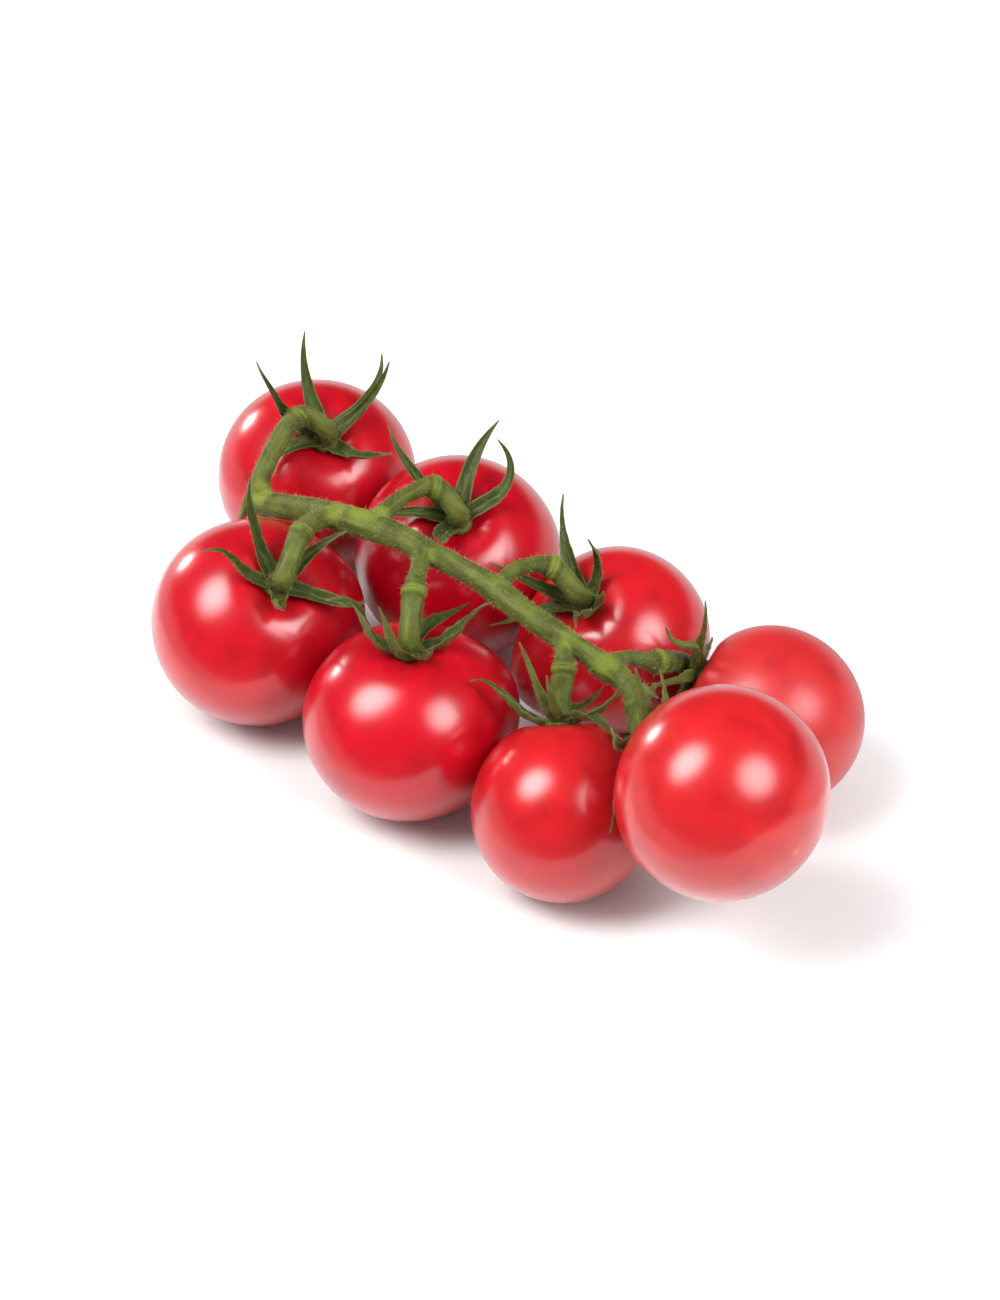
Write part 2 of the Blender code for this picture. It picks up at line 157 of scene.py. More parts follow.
TRUSS = (
    Member(
        Fruit(x=-92.2, y=31.5, across=56.0, squat=0.94, lean=29, towards=-34),
        stalk=((-79.0, -3.9, 44.5), (-81.5, -1.6, 50.5), (-85.4, 17.2, 57.0)),
        stalk_across=4.8,
        sepals=(
            Sepal(length=30, turn=-172, root=4, middle=34, tip=37, sweep=-28, width=5.2),
            Sepal(length=36, turn=-120, root=5, middle=72, tip=30, width=4.4),
            Sepal(length=29, turn=116, root=15, middle=16, tip=30, sweep=70, width=5.4),
            Sepal(length=28, turn=114, root=8, middle=38, tip=42, sweep=42, width=4.4),
            Sepal(length=27, turn=36, root=5, middle=52, tip=22, sweep=28),
            Sepal(length=24, turn=-81, root=20, middle=-5, tip=6, sweep=66),
        ),
    ),
    Member(
        Fruit(x=-59.4, y=-29.2, across=57.0, squat=0.93, lean=31, towards=-13, bulge=(1.0, 1.3, 0.3)),
        stalk=((-45.8, -7.2, 55.5), (-48.4, -13.4, 57.5), (-47.8, -21.8, 58.3)),
        stalk_across=4.8,
        sepals=(
            Sepal(length=30, turn=-175, root=4, middle=42, tip=32, sweep=-31, width=5.4),
            Sepal(length=30, turn=-124, root=5, middle=56, tip=26, sweep=10),
            Sepal(length=22, turn=107, root=24, middle=32, tip=14, sweep=-42),
            Sepal(length=24, turn=41, root=11, middle=18, tip=48, sweep=7, width=5.6),
            Sepal(length=20, turn=-45, root=25, middle=54, tip=68, sweep=-16, width=5.2),
        ),
    ),
    Member(
        Fruit(x=-35.7, y=27.4, across=57.4, squat=0.94, lean=28, towards=-50),
        stalk=((-36.0, -6.4, 58.8), (-35.4, 5.0, 60.5), (-33.5, 15.1, 59.0)),
        stalk_across=3.8,
        sepals=(
            Sepal(length=31, turn=-134, root=8, middle=27, tip=33, sweep=-23, width=4.4),
            Sepal(length=29, turn=168, root=24, middle=10, tip=44, sweep=-45, width=5.8),
            Sepal(length=30, turn=115, root=24, middle=-10, tip=15, sweep=120),
            Sepal(length=24, turn=-97, root=20, middle=6, tip=15, sweep=50),
            Sepal(length=21, turn=-32, root=25, middle=58, tip=35, sweep=90, width=5.4),
        ),
    ),
    Member(
        Fruit(x=-1.5, y=-32.6, across=55.6, squat=0.92, lean=3, towards=110, bulge=(1.1, 1.6, 0.6)),
        stalk=((-16.5, -9.0, 60.5), (-11.5, -16.3, 61.0), (-6.7, -23.8, 60.0)),
        stalk_across=4.0,
        sepals=(
            Sepal(length=31, turn=124, root=12, middle=70, tip=0, width=4.8),
            Sepal(length=25, turn=168, root=26, middle=73, tip=56, sweep=-24, width=4.4),
            Sepal(length=27, turn=-70, root=5, middle=56, tip=41, sweep=-18, width=5.6),
            Sepal(length=24, turn=-12, root=25, middle=-8, tip=18, sweep=-20),
            Sepal(length=16, turn=-130, root=10, middle=45, tip=60, width=4.4),
        ),
    ),
    Member(
        Fruit(x=18.3, y=29.9, across=51.2, squat=0.94, lean=32, towards=-100, bulge=(-2.6, -4.5, -1.6)),
        stalk=((6.3, -5.9, 57.8), (4.9, 4.3, 57.0), (8.0, 14.2, 53.0)),
        stalk_across=3.4,
        sepals=(
            Sepal(length=29, turn=-124, root=25, middle=25, tip=28, sweep=-35, width=5.0),
            Sepal(length=22, turn=-176, root=5, middle=70, tip=98, width=4.6),
            Sepal(length=20, turn=106, root=26, middle=60, tip=48, sweep=-20, width=4.4),
            Sepal(length=27, turn=-64, root=25, middle=46, tip=36, sweep=-13),
            Sepal(length=24, turn=62, root=28, middle=62, tip=-15, sweep=-13),
            Sepal(length=25, turn=-38, root=24, middle=5, tip=41, sweep=8),
        ),
    ),
    Member(
        Fruit(x=50.6, y=-32.3, across=47.8, squat=1.0, lean=40, towards=133),
        stalk=((28.9, -7.6, 54.5), (32.4, -10.8, 53.0), (35.7, -14.3, 51.0)),
        stalk_across=4.0,
        sepals=(
            Sepal(length=26, turn=79, root=5, middle=47, tip=18, width=4.8),
            Sepal(length=28, turn=149, root=25, middle=58, tip=55, sweep=-9, width=4.0),
            Sepal(length=20, turn=167, root=25, middle=39, tip=50, sweep=-6, width=3.6),
            Sepal(length=24, turn=-31, root=24, middle=18, tip=36),
            Sepal(length=24, turn=-138, root=5, middle=25, tip=46, sweep=-6),
            Sepal(length=25, turn=-146, root=24, middle=-20, tip=-24),
        ),
    ),
    Member(
        Fruit(x=94.1, y=-24.3, across=54.2, squat=0.97, lean=87, towards=171, lifted_to=48.1),
        stalk=((51.1, -6.4, 47.2), (53.9, -8.3, 46.9), (57.3, -11.1, 47.2)),
        stalk_across=4.6,
        sepals=(
            Sepal(length=26, turn=58, root=24, middle=-30, tip=-20, width=4.2),
            Sepal(length=22, turn=172, root=10, middle=20, tip=15),
            Sepal(length=20, turn=112, root=20, middle=-20, tip=-45),
            Sepal(length=25, turn=-95, root=26, middle=54, tip=55),
            Sepal(length=19, turn=-50, root=10, middle=5, tip=10),
        ),
    ),
    Member(
        Fruit(x=70.0, y=30.8, across=48.8, squat=1.0, lean=68, towards=-163),
        stalk=((41.7, -5.9, 50.2), (43.9, 1.8, 48.5), (47.7, 9.3, 44.5)),
        stalk_across=3.4,
        sepals=(
            Sepal(length=27, turn=157, root=22, middle=18, tip=64, sweep=-52, width=4.6),
            Sepal(length=26, turn=172, root=26, middle=14, tip=39, width=4.2),
            Sepal(length=22, turn=111, root=12, middle=27, tip=25, sweep=-9),
            Sepal(length=20, turn=64, root=12, middle=4, tip=5),
            Sepal(length=16, turn=14, root=10, middle=0, tip=-5),
            Sepal(length=18, turn=-80, root=10, middle=5, tip=10),
        ),
    ),
)


@dataclass(frozen=True)
class Spot:
    """A place on the stem that looks different, with its reach in mm and its strength."""

    x: float
    y: float
    z: float
    reach: float
    strength: float


# Young, yellower tissue at the forks
YOUNG_SPOTS = (
    Spot(-77.3, -5.3, 47.5, 4.2, 0.9),
    Spot(-45.9, -8.0, 58.0, 4.8, 0.95),
    Spot(-40.0, -7.6, 59.5, 4.6, 0.9),
    Spot(-35.0, -6.4, 60.5, 4.6, 0.85),
    Spot(-12.3, -10.6, 61.5, 2.6, 0.75),
    Spot(7.5, -6.1, 60.5, 4.0, 0.35),
    Spot(33.4, -9.0, 56.0, 3.4, 0.65),
    Spot(43.6, -6.7, 52.0, 3.8, 0.6),
)

# How young the ring round each knuckle looks, by fruit
KNUCKLE_STRENGTH = (0.3, 0.5, 0.5, 0.6, 0.7, 0.4, 0.1, 0.6)


@dataclass(frozen=True)
class Curl:
    """How a sepal's tip bends, aside and upwards in degrees, and where the bend starts."""

    aside: float
    up: float
    start: float = 0.66


STRAIGHT = Curl(0, 0)

# The sepals whose tips show, by fruit and place in its row
TIP_CURLS = {
    (1, 0): STRAIGHT,
    (1, 1): Curl(-50, -30, 0.6),
    (1, 2): STRAIGHT,
    (1, 3): STRAIGHT,
    (1, 4): Curl(0, 20),
    (2, 0): Curl(-12, 0),
    (2, 1): Curl(10, -60, 0.7),
    (2, 3): Curl(-10, 45, 0.8),
    (3, 0): Curl(-10, -15),
    (3, 1): STRAIGHT,
    (3, 2): Curl(40, 60, 0.2),
    (4, 0): Curl(0, -45, 0.7),
    (4, 2): Curl(10, -20, 0.75),
    (5, 0): STRAIGHT,
    (5, 1): Curl(20, 10),
    (6, 0): Curl(0, -50, 0.75),
    (6, 1): Curl(-10, 0),
    (6, 5): STRAIGHT,
    (7, 0): STRAIGHT,
    (7, 1): STRAIGHT,
    (7, 2): Curl(120, 110, 0.55),
    (8, 0): Curl(-140, 100, 0.5),
    (8, 1): Curl(12, 0),
}

# Short sepals with a broad, blunt end, in mm across
BLUNT_TIPS = {(2, 4): 3.0, (3, 4): 2.8}


# ---------------------------------------------------------------------------------------------
# Shapes


@dataclass
class Shell:
    """Points in mm and the faces over them, with values for the finish at each point."""

    points: np.ndarray
    faces: Faces
    values: dict[str, np.ndarray] = field(default_factory=dict)
    look: int = 0


def bridge_rings(rings: np.ndarray) -> Shell:
    """Covers a row of equal rings with quads and closes both ends.

    Args:
        rings: Points in mm, as rows by sides by 3.

    Returns:
        The closed shell, its points in ring order.
    """
    rows, sides = rings.shape[:2]
    faces: Faces = []
    for row in range(rows - 1):
        for side in range(sides):
            near = row * sides + side
            after = row * sides + (side + 1) % sides
            faces.append((near, after, after + sides, near + sides))
    faces.append(tuple(range(sides - 1, -1, -1)))
    faces.append(tuple(range((rows - 1) * sides, rows * sides)))
    return Shell(rings.reshape(-1, 3), faces)


def smooth_route(points: Sequence[Vector], steps: int) -> list[Vector]:
    """Points on a smooth curve through the given points.

    Args:
        points: The points that the curve passes.
        steps: Steps from each point to the next.

    Returns:
        The curve's points, from the first to the last.
    """
    ends = [2 * points[0] - points[1], *points, 2 * points[-1] - points[-2]]
    route = []
    for before, start, end, after in zip(ends, ends[1:], ends[2:], ends[3:]):
        for step in range(steps):
            t = step / steps
            bend = (2 * before - 5 * start + 4 * end - after) * t * t
            twist = (3 * start - before - 3 * end + after) * t * t * t
            route.append(0.5 * (2 * start + (end - before) * t + bend + twist))
    route.append(points[-1].copy())
    return route


def directions_of(route: Sequence[Vector]) -> list[Vector]:
    """The unit direction of a route at each of its points."""
    last = len(route) - 1
    return [(route[min(at + 1, last)] - route[max(at - 1, 0)]).normalized() for at in range(last + 1)]


def tube_rings(
    route: Sequence[Vector], directions: Sequence[Vector], radii: Sequence[float], sides: int
) -> np.ndarray:
    """Round rings along a route, turned as little as can be from one to the next.

    Args:
        route: The middle line in mm.
        directions: The route's direction at each point.
        radii: The tube's radius at each point.
        sides: Points round each ring.

    Returns:
        The rings, as rows by sides by 3.
    """
    across = directions[0].orthogonal().normalized()
    turns = np.arange(sides) * math.tau / sides
    rings = np.empty((len(route), sides, 3))
    for row, (middle, along, radius) in enumerate(zip(route, directions, radii)):
        across = (across - along * across.dot(along)).normalized()
        over = along.cross(across)
        outwards = np.outer(np.cos(turns), across) + np.outer(np.sin(turns), over)
        rings[row] = np.array(middle) + radius * outwards
    return rings


def blend(start: float, end: float, share: float) -> float:
    """A value between two others."""
    return start + (end - start) * share


def leaf_shell(
    line: Sequence[Vector],
    asides: Sequence[Vector],
    widths: Sequence[float],
    thicks: Sequence[float],
    folds: Sequence[tuple[float, float]],
    seed: float,
    half_across: int = 5,
) -> Shell:
    """A thin leaf round a line, folded along its middle rib, wrinkled and slimmer at its edges.

    Args:
        line: The middle line in mm.
        asides: The way across the leaf at each point of the line.
        widths: The leaf's width at each point.
        thicks: Its thickness at each point.
        folds: How far its two edges rise at each point.
        seed: A number that sets its wrinkles.
        half_across: Points from the rib to an edge.

    Returns:
        The closed shell, with where each point lies on the leaf.
    """
    side = np.linspace(-1, 1, 2 * half_across + 1)
    rings, blade, veins = [], [], []
    run = 0.0
    for row, (middle, along) in enumerate(zip(line, directions_of(line))):
        run += (line[row] - line[row - 1]).length if row else 0.0
        aside = (asides[row] - along * asides[row].dot(along)).normalized()
        over = np.cross(np.array(along), np.array(aside))
        width, thick = widths[row], thicks[row]
        rise = np.where(side < 0, folds[row][0], folds[row][1]) * np.abs(side) ** 1.6
        crumple = [noise.noise(Vector((at * width * 0.5, run * 0.45, seed))) for at in side]
        rise = rise + 0.16 * width * np.array(crumple) * np.minimum(1.0, run / 5)
        slim = thick / 2 * (1 - 0.7 * np.abs(side) ** 2.2)
        groove = 0.14 * thick * np.exp(-((side / 0.16) ** 2))
        ribbed = 0.35 * thick * np.exp(-((side / 0.2) ** 2))
        spine = np.array(middle) + np.outer(side * width / 2, np.array(aside))
        top = spine + np.outer(rise + slim - groove, over)
        back = spine + np.outer(rise - slim - ribbed, over)
        rings.append(np.concatenate([top, back[::-1]]))
        where = np.concatenate([side, side[::-1]])
        shares = np.full(len(where), row / (len(line) - 1))
        above = np.concatenate([np.ones(len(side)), np.zeros(len(side))])
        blade.append(np.stack([where, shares, above], -1))
        veins.append(np.stack([where * width * 0.55 + seed, np.full(len(where), run * 0.14), above * 3], -1))
    shell = bridge_rings(np.array(rings))
    shell.values = {"blade": np.concatenate(blade), "veins": np.concatenate(veins)}
    shell.look = 1
    return shell


def mesh_object(name: str, shells: Iterable[Shell], looks: Sequence[bpy.types.Material] = ()) -> bpy.types.Object:
    """One object at the origin made from shells, with its faces turned outwards.

    Args:
        name: The object's name.
        shells: Closed shells in mm. The points' values become attributes.
        looks: The materials that the shells' look numbers stand for.

    Returns:
        The object, in the scene, in metres.
    """
    shells = list(shells)
    faces: Faces = []
    numbers: list[int] = []
    start = 0
    for shell in shells:
        faces += [tuple(start + corner for corner in face) for face in shell.faces]
        numbers += [shell.look] * len(shell.faces)
        start += len(shell.points)
    points = np.concatenate([shell.points for shell in shells]) * MM
    mesh = bpy.data.meshes.new(name)
    mesh.from_pydata(points.tolist(), [], faces)
    builder = bmesh.new()
    builder.from_mesh(mesh)
    bmesh.ops.recalc_face_normals(builder, faces=builder.faces)
    builder.to_mesh(mesh)
    builder.free()
    for key in sorted({key for shell in shells for key in shell.values}):
        widths = [shell.values[key].ndim for shell in shells if key in shell.values]
        wide = max(widths) == 2
        parts = []
        for shell in shells:
            blank = np.zeros((len(shell.points), 3) if wide else len(shell.points))
            parts.append(shell.values.get(key, blank))
        layer = mesh.attributes.new(key, "FLOAT_VECTOR" if wide else "FLOAT", "POINT")
        layer.data.foreach_set("vector" if wide else "value", np.concatenate(parts).astype(np.float32).ravel())
    for look in looks:
        mesh.materials.append(look)
    mesh.polygons.foreach_set("material_index", numbers)
    mesh.shade_smooth()
    thing = bpy.data.objects.new(name, mesh)
    bpy.context.scene.collection.objects.link(thing)
    return thing


def settled_mesh(thing: bpy.types.Object) -> bpy.types.Mesh:
    """The object's mesh with its modifiers worked in, as a mesh of its own."""
    bpy.context.view_layer.update()
    return bpy.data.meshes.new_from_object(thing.evaluated_get(bpy.context.evaluated_depsgraph_get()))


def melt_together(name: str, shells: Iterable[Shell], voxel: float, rounds: int) -> tuple[Shell, np.ndarray]:
    """Fuses overlapping shells into one skin and softens the creases between them.

    Args:
        name: A name for the work in hand.
        shells: Closed shells in mm.
        voxel: The grain of the new skin, in mm.
        rounds: Rounds of smoothing.

    Returns:
        The fused shell, and its points' outward directions.
    """
    thing = mesh_object(name, shells)
    fuse = thing.modifiers.new("fuse", "REMESH")
    fuse.mode = "VOXEL"
    fuse.voxel_size = voxel * MM
    soften = thing.modifiers.new("soften", "SMOOTH")
    soften.factor = 0.5
    soften.iterations = rounds
    mesh = settled_mesh(thing)
    points = np.empty(len(mesh.vertices) * 3)
    mesh.vertices.foreach_get("co", points)
    outwards = np.empty(len(mesh.vertices) * 3)
    mesh.vertices.foreach_get("normal", outwards)
    faces = [tuple(face.vertices) for face in mesh.polygons]
    bpy.data.objects.remove(thing, do_unlink=True)
    bpy.data.meshes.remove(mesh)
    return Shell(points.reshape(-1, 3) / MM, faces), outwards.reshape(-1, 3)


def wear(piece: bpy.types.Object, slot: Slot, *nodes: str) -> None:
    """Puts a finished piece in the frame: its body and the solids that it stands for."""
    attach(piece, BODY)
    if nodes:
        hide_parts(*nodes)
    log.info("%s: %d faces", piece.name, len(piece.data.polygons))


# ---------------------------------------------------------------------------------------------
# Finishes


def colour(code: str) -> tuple[float, float, float, float]:
    """A linear colour with full cover from an sRGB hex code such as "6F8050"."""
    parts = [int(code[at : at + 2], 16) / 255 for at in (0, 2, 4)]
    linear = [part / 12.92 if part <= 0.04045 else ((part + 0.055) / 1.055) ** 2.4 for part in parts]
    return (linear[0], linear[1], linear[2], 1.0)


def per_mm(size: float) -> float:
    """The texture scale, on coordinates in metres, that gives features of a size in mm."""
    return 1.0 / (size * MM)


class Bench:
    """A material in the making."""

    def __init__(self, name: str) -> None:
        """Starts a material that holds one Principled shader."""
        self.material = bpy.data.materials.new(name)
        self.material.use_nodes = True
        self.tree = self.material.node_tree
        self.shader = self.tree.nodes["Principled BSDF"]

    def add(self, kind: str, inputs: dict[Any, Any] | None = None, **settings: Any) -> bpy.types.Node:
        """Adds one node.

        Args:
            kind: The node's type.
            inputs: For each socket name or number, a value or the output that feeds it.
            settings: The node's own settings.

        Returns:
            The new node.
        """
        node = self.tree.nodes.new(kind)
        for key, value in settings.items():
            setattr(node, key, value)
        self.feed(node, inputs or {})
        return node

    def feed(self, node: bpy.types.Node, inputs: dict[Any, Any]) -> None:
        """Sets or links a node's inputs."""
        for key, value in inputs.items():
            if isinstance(value, bpy.types.NodeSocket):
                self.tree.links.new(value, node.inputs[key])
            else:
                node.inputs[key].default_value = value

    def place(self) -> bpy.types.NodeSocket:
        """The object's own coordinates, in metres."""
        return self.add("ShaderNodeTexCoord").outputs["Object"]

    def value(self, name: str) -> bpy.types.NodeSocket:
        """A number painted on the piece's points."""
        return self.add("ShaderNodeAttribute", attribute_name=name).outputs["Fac"]

    def vector(self, name: str) -> bpy.types.NodeSocket:
        """A vector painted on the piece's points."""
        return self.add("ShaderNodeAttribute", attribute_name=name).outputs["Vector"]

    def stretched(self, source: bpy.types.NodeSocket, scale: tuple[float, float, float]) -> bpy.types.NodeSocket:
        """Coordinates scaled by a different amount along each axis."""
        return self.add("ShaderNodeMapping", {"Vector": source, "Scale": scale}).outputs["Vector"]

    def grain(self, source: bpy.types.NodeSocket, scale: float, detail: float = 3.0) -> bpy.types.NodeSocket:
        """Cloudy noise from 0 to 1."""
        made = self.add("ShaderNodeTexNoise", {"Vector": source, "Scale": scale, "Detail": detail})
        return made.outputs["Fac"]

    def ranged(
        self, source: bpy.types.NodeSocket, low: float, high: float, first: float = 0.0, last: float = 1.0
    ) -> bpy.types.NodeSocket:
        """A value stretched from one range to another, and held inside it."""
        inputs = {"Value": source, "From Min": low, "From Max": high, "To Min": first, "To Max": last}
        return self.add("ShaderNodeMapRange", inputs).outputs["Result"]

    def sum(self, kind: str, first: Any, second: Any) -> bpy.types.NodeSocket:
        """Simple arithmetic on two values."""
        return self.add("ShaderNodeMath", {0: first, 1: second}, operation=kind).outputs["Value"]

    def mix(self, share: Any, first: Any, second: Any) -> bpy.types.NodeSocket:
        """A blend of two colours."""
        inputs = {0: share, 6: first, 7: second}
        return self.add("ShaderNodeMix", inputs, data_type="RGBA").outputs[2]

    def relief(self, height: bpy.types.NodeSocket, depth: float, strength: float) -> bpy.types.NodeSocket:
        """The surface direction with small relief, its depth in mm."""
        inputs = {"Height": height, "Distance": depth * MM, "Strength": strength}
        return self.add("ShaderNodeBump", inputs).outputs["Normal"]


@dataclass(frozen=True)
class TomatoSkin:
    """Ripe tomato skin: a tight, clear, shiny skin over red flesh.

    The eye gets the wet gloss with soft-edged lamps in it, a crimson that is warmer on some fruits
    and brighter in some patches, and a darker ring where the stem end dips.
    """

    name: str = "ripe tomato skin"
    crimson: str = "AC0018"
    warm: str = "B21A1C"
    rich: str = "C4001A"
    bright: str = "CC201E"
    deep: str = "8A000E"
    fleck: str = "CC3826"
    scar: str = "A8643C"
    roughness: float = 0.33
    gloss: float = 0.2

    def make(self) -> bpy.types.Material:
        """The material for the fruits with this skin."""
        bench = Bench(self.name)
        place = bench.place()
        warmth = bench.value("warmth")
        red = bench.mix(warmth, colour(self.crimson), colour(self.warm))
        patches = bench.ranged(bench.grain(place, per_mm(17.0), 3.0), 0.48, 0.72, 0.0, 0.5)
        red = bench.mix(patches, red, bench.mix(warmth, colour(self.rich), colour(self.bright)))
        hollows = bench.ranged(bench.grain(place, per_mm(11.0), 3.0), 0.5, 0.3, 0.0, 0.45)
        red = bench.mix(hollows, red, colour(self.deep))
        streaks = bench.grain(bench.vector("radial"), 1.0, 3.0)
        red = bench.mix(bench.ranged(streaks, 0.55, 0.8, 0.0, 0.2), red, colour(self.deep))
        flecks = bench.add("ShaderNodeTexVoronoi", {"Vector": place, "Scale": per_mm(1.9)}).outputs["Distance"]
        red = bench.mix(bench.ranged(flecks, 0.0, 0.2, 0.14, 0.0), red, colour(self.fleck))
        red = bench.mix(bench.value("stem_end"), red, colour(self.deep))
        red = bench.mix(bench.value("scar"), red, colour(self.scar))
        pores = bench.grain(place, per_mm(0.9), 2.0)
        swells = bench.grain(place, per_mm(6.0), 3.0)
        height = bench.sum("ADD", bench.sum("MULTIPLY", pores, 0.06), swells)
        bench.feed(
            bench.shader,
            {
                "Base Color": red,
                "Roughness": self.roughness,
                "IOR": 1.45,
                "Specular IOR Level": 0.2,
                "Subsurface Weight": 0.15,
                "Subsurface Radius": (1.0, 0.2, 0.1),
                "Subsurface Scale": 0.003,
                "Coat Weight": 1.0,
                "Coat Roughness": self.gloss,
                "Coat IOR": 1.48,
                "Normal": bench.relief(height, 0.14, 0.4),
            },
        )
        return bench.material


@dataclass(frozen=True)
class StemGreen:
    """Fresh green stem: olive skin with long streaks, pale hair roots, and yellow-green joints.

    The eye gets the velvety dull light of a hairy stem, the younger, yellower tissue where it
    forks or swells, and the brown of what has withered.
    """

    sage: str = "545D1F"
    dark: str = "3E4512"
    pale: str = "69712F"
    young: str = "6C7922"
    dry: str = "8A7A4C"
    root: str = "82835A"
    roughness: float = 0.6

    def make(self) -> bpy.types.Material:
        """The material for the main stem and all stalks."""
        bench = Bench("vine stem")
        place = bench.place()
        along = bench.vector("grain")
        clouds = bench.ranged(bench.grain(place, per_mm(5.5), 3.0), 0.34, 0.6)
        green = bench.mix(clouds, colour(self.dark), colour(self.sage))
        streaks = bench.grain(bench.stretched(along, (0.8, 0.8, 0.07)), 1.0, 2.0)
        green = bench.mix(bench.ranged(streaks, 0.52, 0.74, 0.0, 0.6), green, colour(self.pale))
        green = bench.mix(bench.ranged(streaks, 0.44, 0.28, 0.0, 0.5), green, colour(self.dark))
        ragged = bench.sum("ADD", bench.value("young"), bench.ranged(clouds, 0.0, 1.0, -0.22, 0.1))
        green = bench.mix(bench.ranged(ragged, 0.2, 0.75, 0.0, 0.9), green, colour(self.young))
        dots = bench.add("ShaderNodeTexVoronoi", {"Vector": place, "Scale": per_mm(0.9)}).outputs["Distance"]
        green = bench.mix(bench.ranged(dots, 0.08, 0.2, 0.5, 0.0), green, colour(self.root))
        # Painted shade: the grooves beside the knuckles are darkened towards the dark green.
        green = bench.mix(bench.value("groove"), green, colour(self.dark))
        green = bench.mix(bench.value("dry"), green, colour(self.dry))
        bumps = bench.sum("ADD", streaks, bench.sum("MULTIPLY", bench.grain(place, per_mm(0.6), 3.0), 0.5))
        bench.feed(
            bench.shader,
            {
                "Base Color": green,
                "Roughness": self.roughness,
                "Specular IOR Level": 0.25,
                "Sheen Weight": 0.05,
                "Sheen Roughness": 0.35,
                "Sheen Tint": colour("E6E2BE"),
                "Subsurface Weight": 0.06,
                "Subsurface Scale": 0.0012,
                "Normal": bench.relief(bumps, 0.22, 0.5),
            },
        )
        return bench.material


@dataclass(frozen=True)
class SepalGreen:
    """Fresh sepal: a thin green leaf, dark above and paler below, with a pale middle rib.

    The eye gets dark streaks and wrinkles along the blade, lighter edges where the hairs stand,
    and dry brown tips.
    """

    top: str = "38410F"
    back: str = "535B23"
    rib: str = "5A6225"
    edge: str = "6A6E3A"
    streak: str = "252B08"
    light: str = "525B1E"
    dry: str = "6A5630"
    roughness: float = 0.52

    def make(self) -> bpy.types.Material:
        """The material for all sepals, reading where on the blade a point lies."""
        bench = Bench("sepal")
        place = bench.place()
        parts = bench.add("ShaderNodeSeparateXYZ", {0: bench.vector("blade")})
        across, along, above = parts.outputs[0], parts.outputs[1], parts.outputs[2]
        green = bench.mix(above, colour(self.back), colour(self.top))
        streaks = bench.grain(bench.vector("veins"), 1.0, 4.0)
        green = bench.mix(bench.ranged(streaks, 0.52, 0.7, 0.0, 0.55), green, colour(self.streak))
        green = bench.mix(bench.ranged(streaks, 0.46, 0.3, 0.0, 0.5), green, colour(self.light))
        clouds = bench.grain(place, per_mm(2.2), 4.0)
        green = bench.mix(bench.ranged(clouds, 0.56, 0.74, 0.0, 0.5), green, colour(self.streak))
        off_middle = bench.sum("ABSOLUTE", across, 0.0)
        green = bench.mix(bench.ranged(off_middle, 0.16, 0.04, 0.0, 0.4), green, colour(self.rib))
        green = bench.mix(bench.ranged(off_middle, 0.76, 1.0, 0.0, 0.55), green, colour(self.edge))
        green = bench.mix(bench.ranged(along, 0.86, 1.0, 0.0, 0.75), green, colour(self.dry))
        bumps = bench.sum("ADD", streaks, bench.sum("MULTIPLY", clouds, 0.7))
        bench.feed(
            bench.shader,
            {
                "Base Color": green,
                "Roughness": self.roughness,
                "Specular IOR Level": 0.3,
                "Sheen Weight": 0.05,
                "Sheen Roughness": 0.35,
                "Sheen Tint": colour("E2E4C4"),
                "Normal": bench.relief(bumps, 0.3, 0.7),
            },
        )
        return bench.material


@dataclass(frozen=True)
class PlantHair:
    """Short clear plant hairs: the eye gets a pale fringe along each green edge."""

    pale: str = "B7A984"
    green: str = "74784A"
    roughness: float = 0.6

    def make(self) -> bpy.types.Material:
        """The material for all hairs, a little darker on some than on others."""
        bench = Bench("plant hair")
        shade = bench.grain(bench.place(), per_mm(3.0), 1.0)
        bench.feed(
            bench.shader,
            {
                "Base Color": bench.mix(shade, colour(self.pale), colour(self.green)),
                "Roughness": self.roughness,
            },
        )
        return bench.material


@dataclass(frozen=True)
class PaleFloor:
    """Matt white studio paper: the eye gets an even white with soft shadows."""

    white: str = "DFDFDF"
    tooth: str = "E2E2E2"
    roughness: float = 0.9

    def make(self) -> bpy.types.Material:
        """The material for the floor, with the faint tooth of paper."""
        bench = Bench("white paper")
        tooth = bench.grain(bench.place(), per_mm(4.0), 3.0)
        bench.feed(
            bench.shader,
            {
                "Base Color": bench.mix(tooth, colour(self.white), colour(self.tooth)),
                "Roughness": self.roughness,
                "Specular IOR Level": 0.1,
            },
        )
        return bench.material


# ---------------------------------------------------------------------------------------------
# The fruits


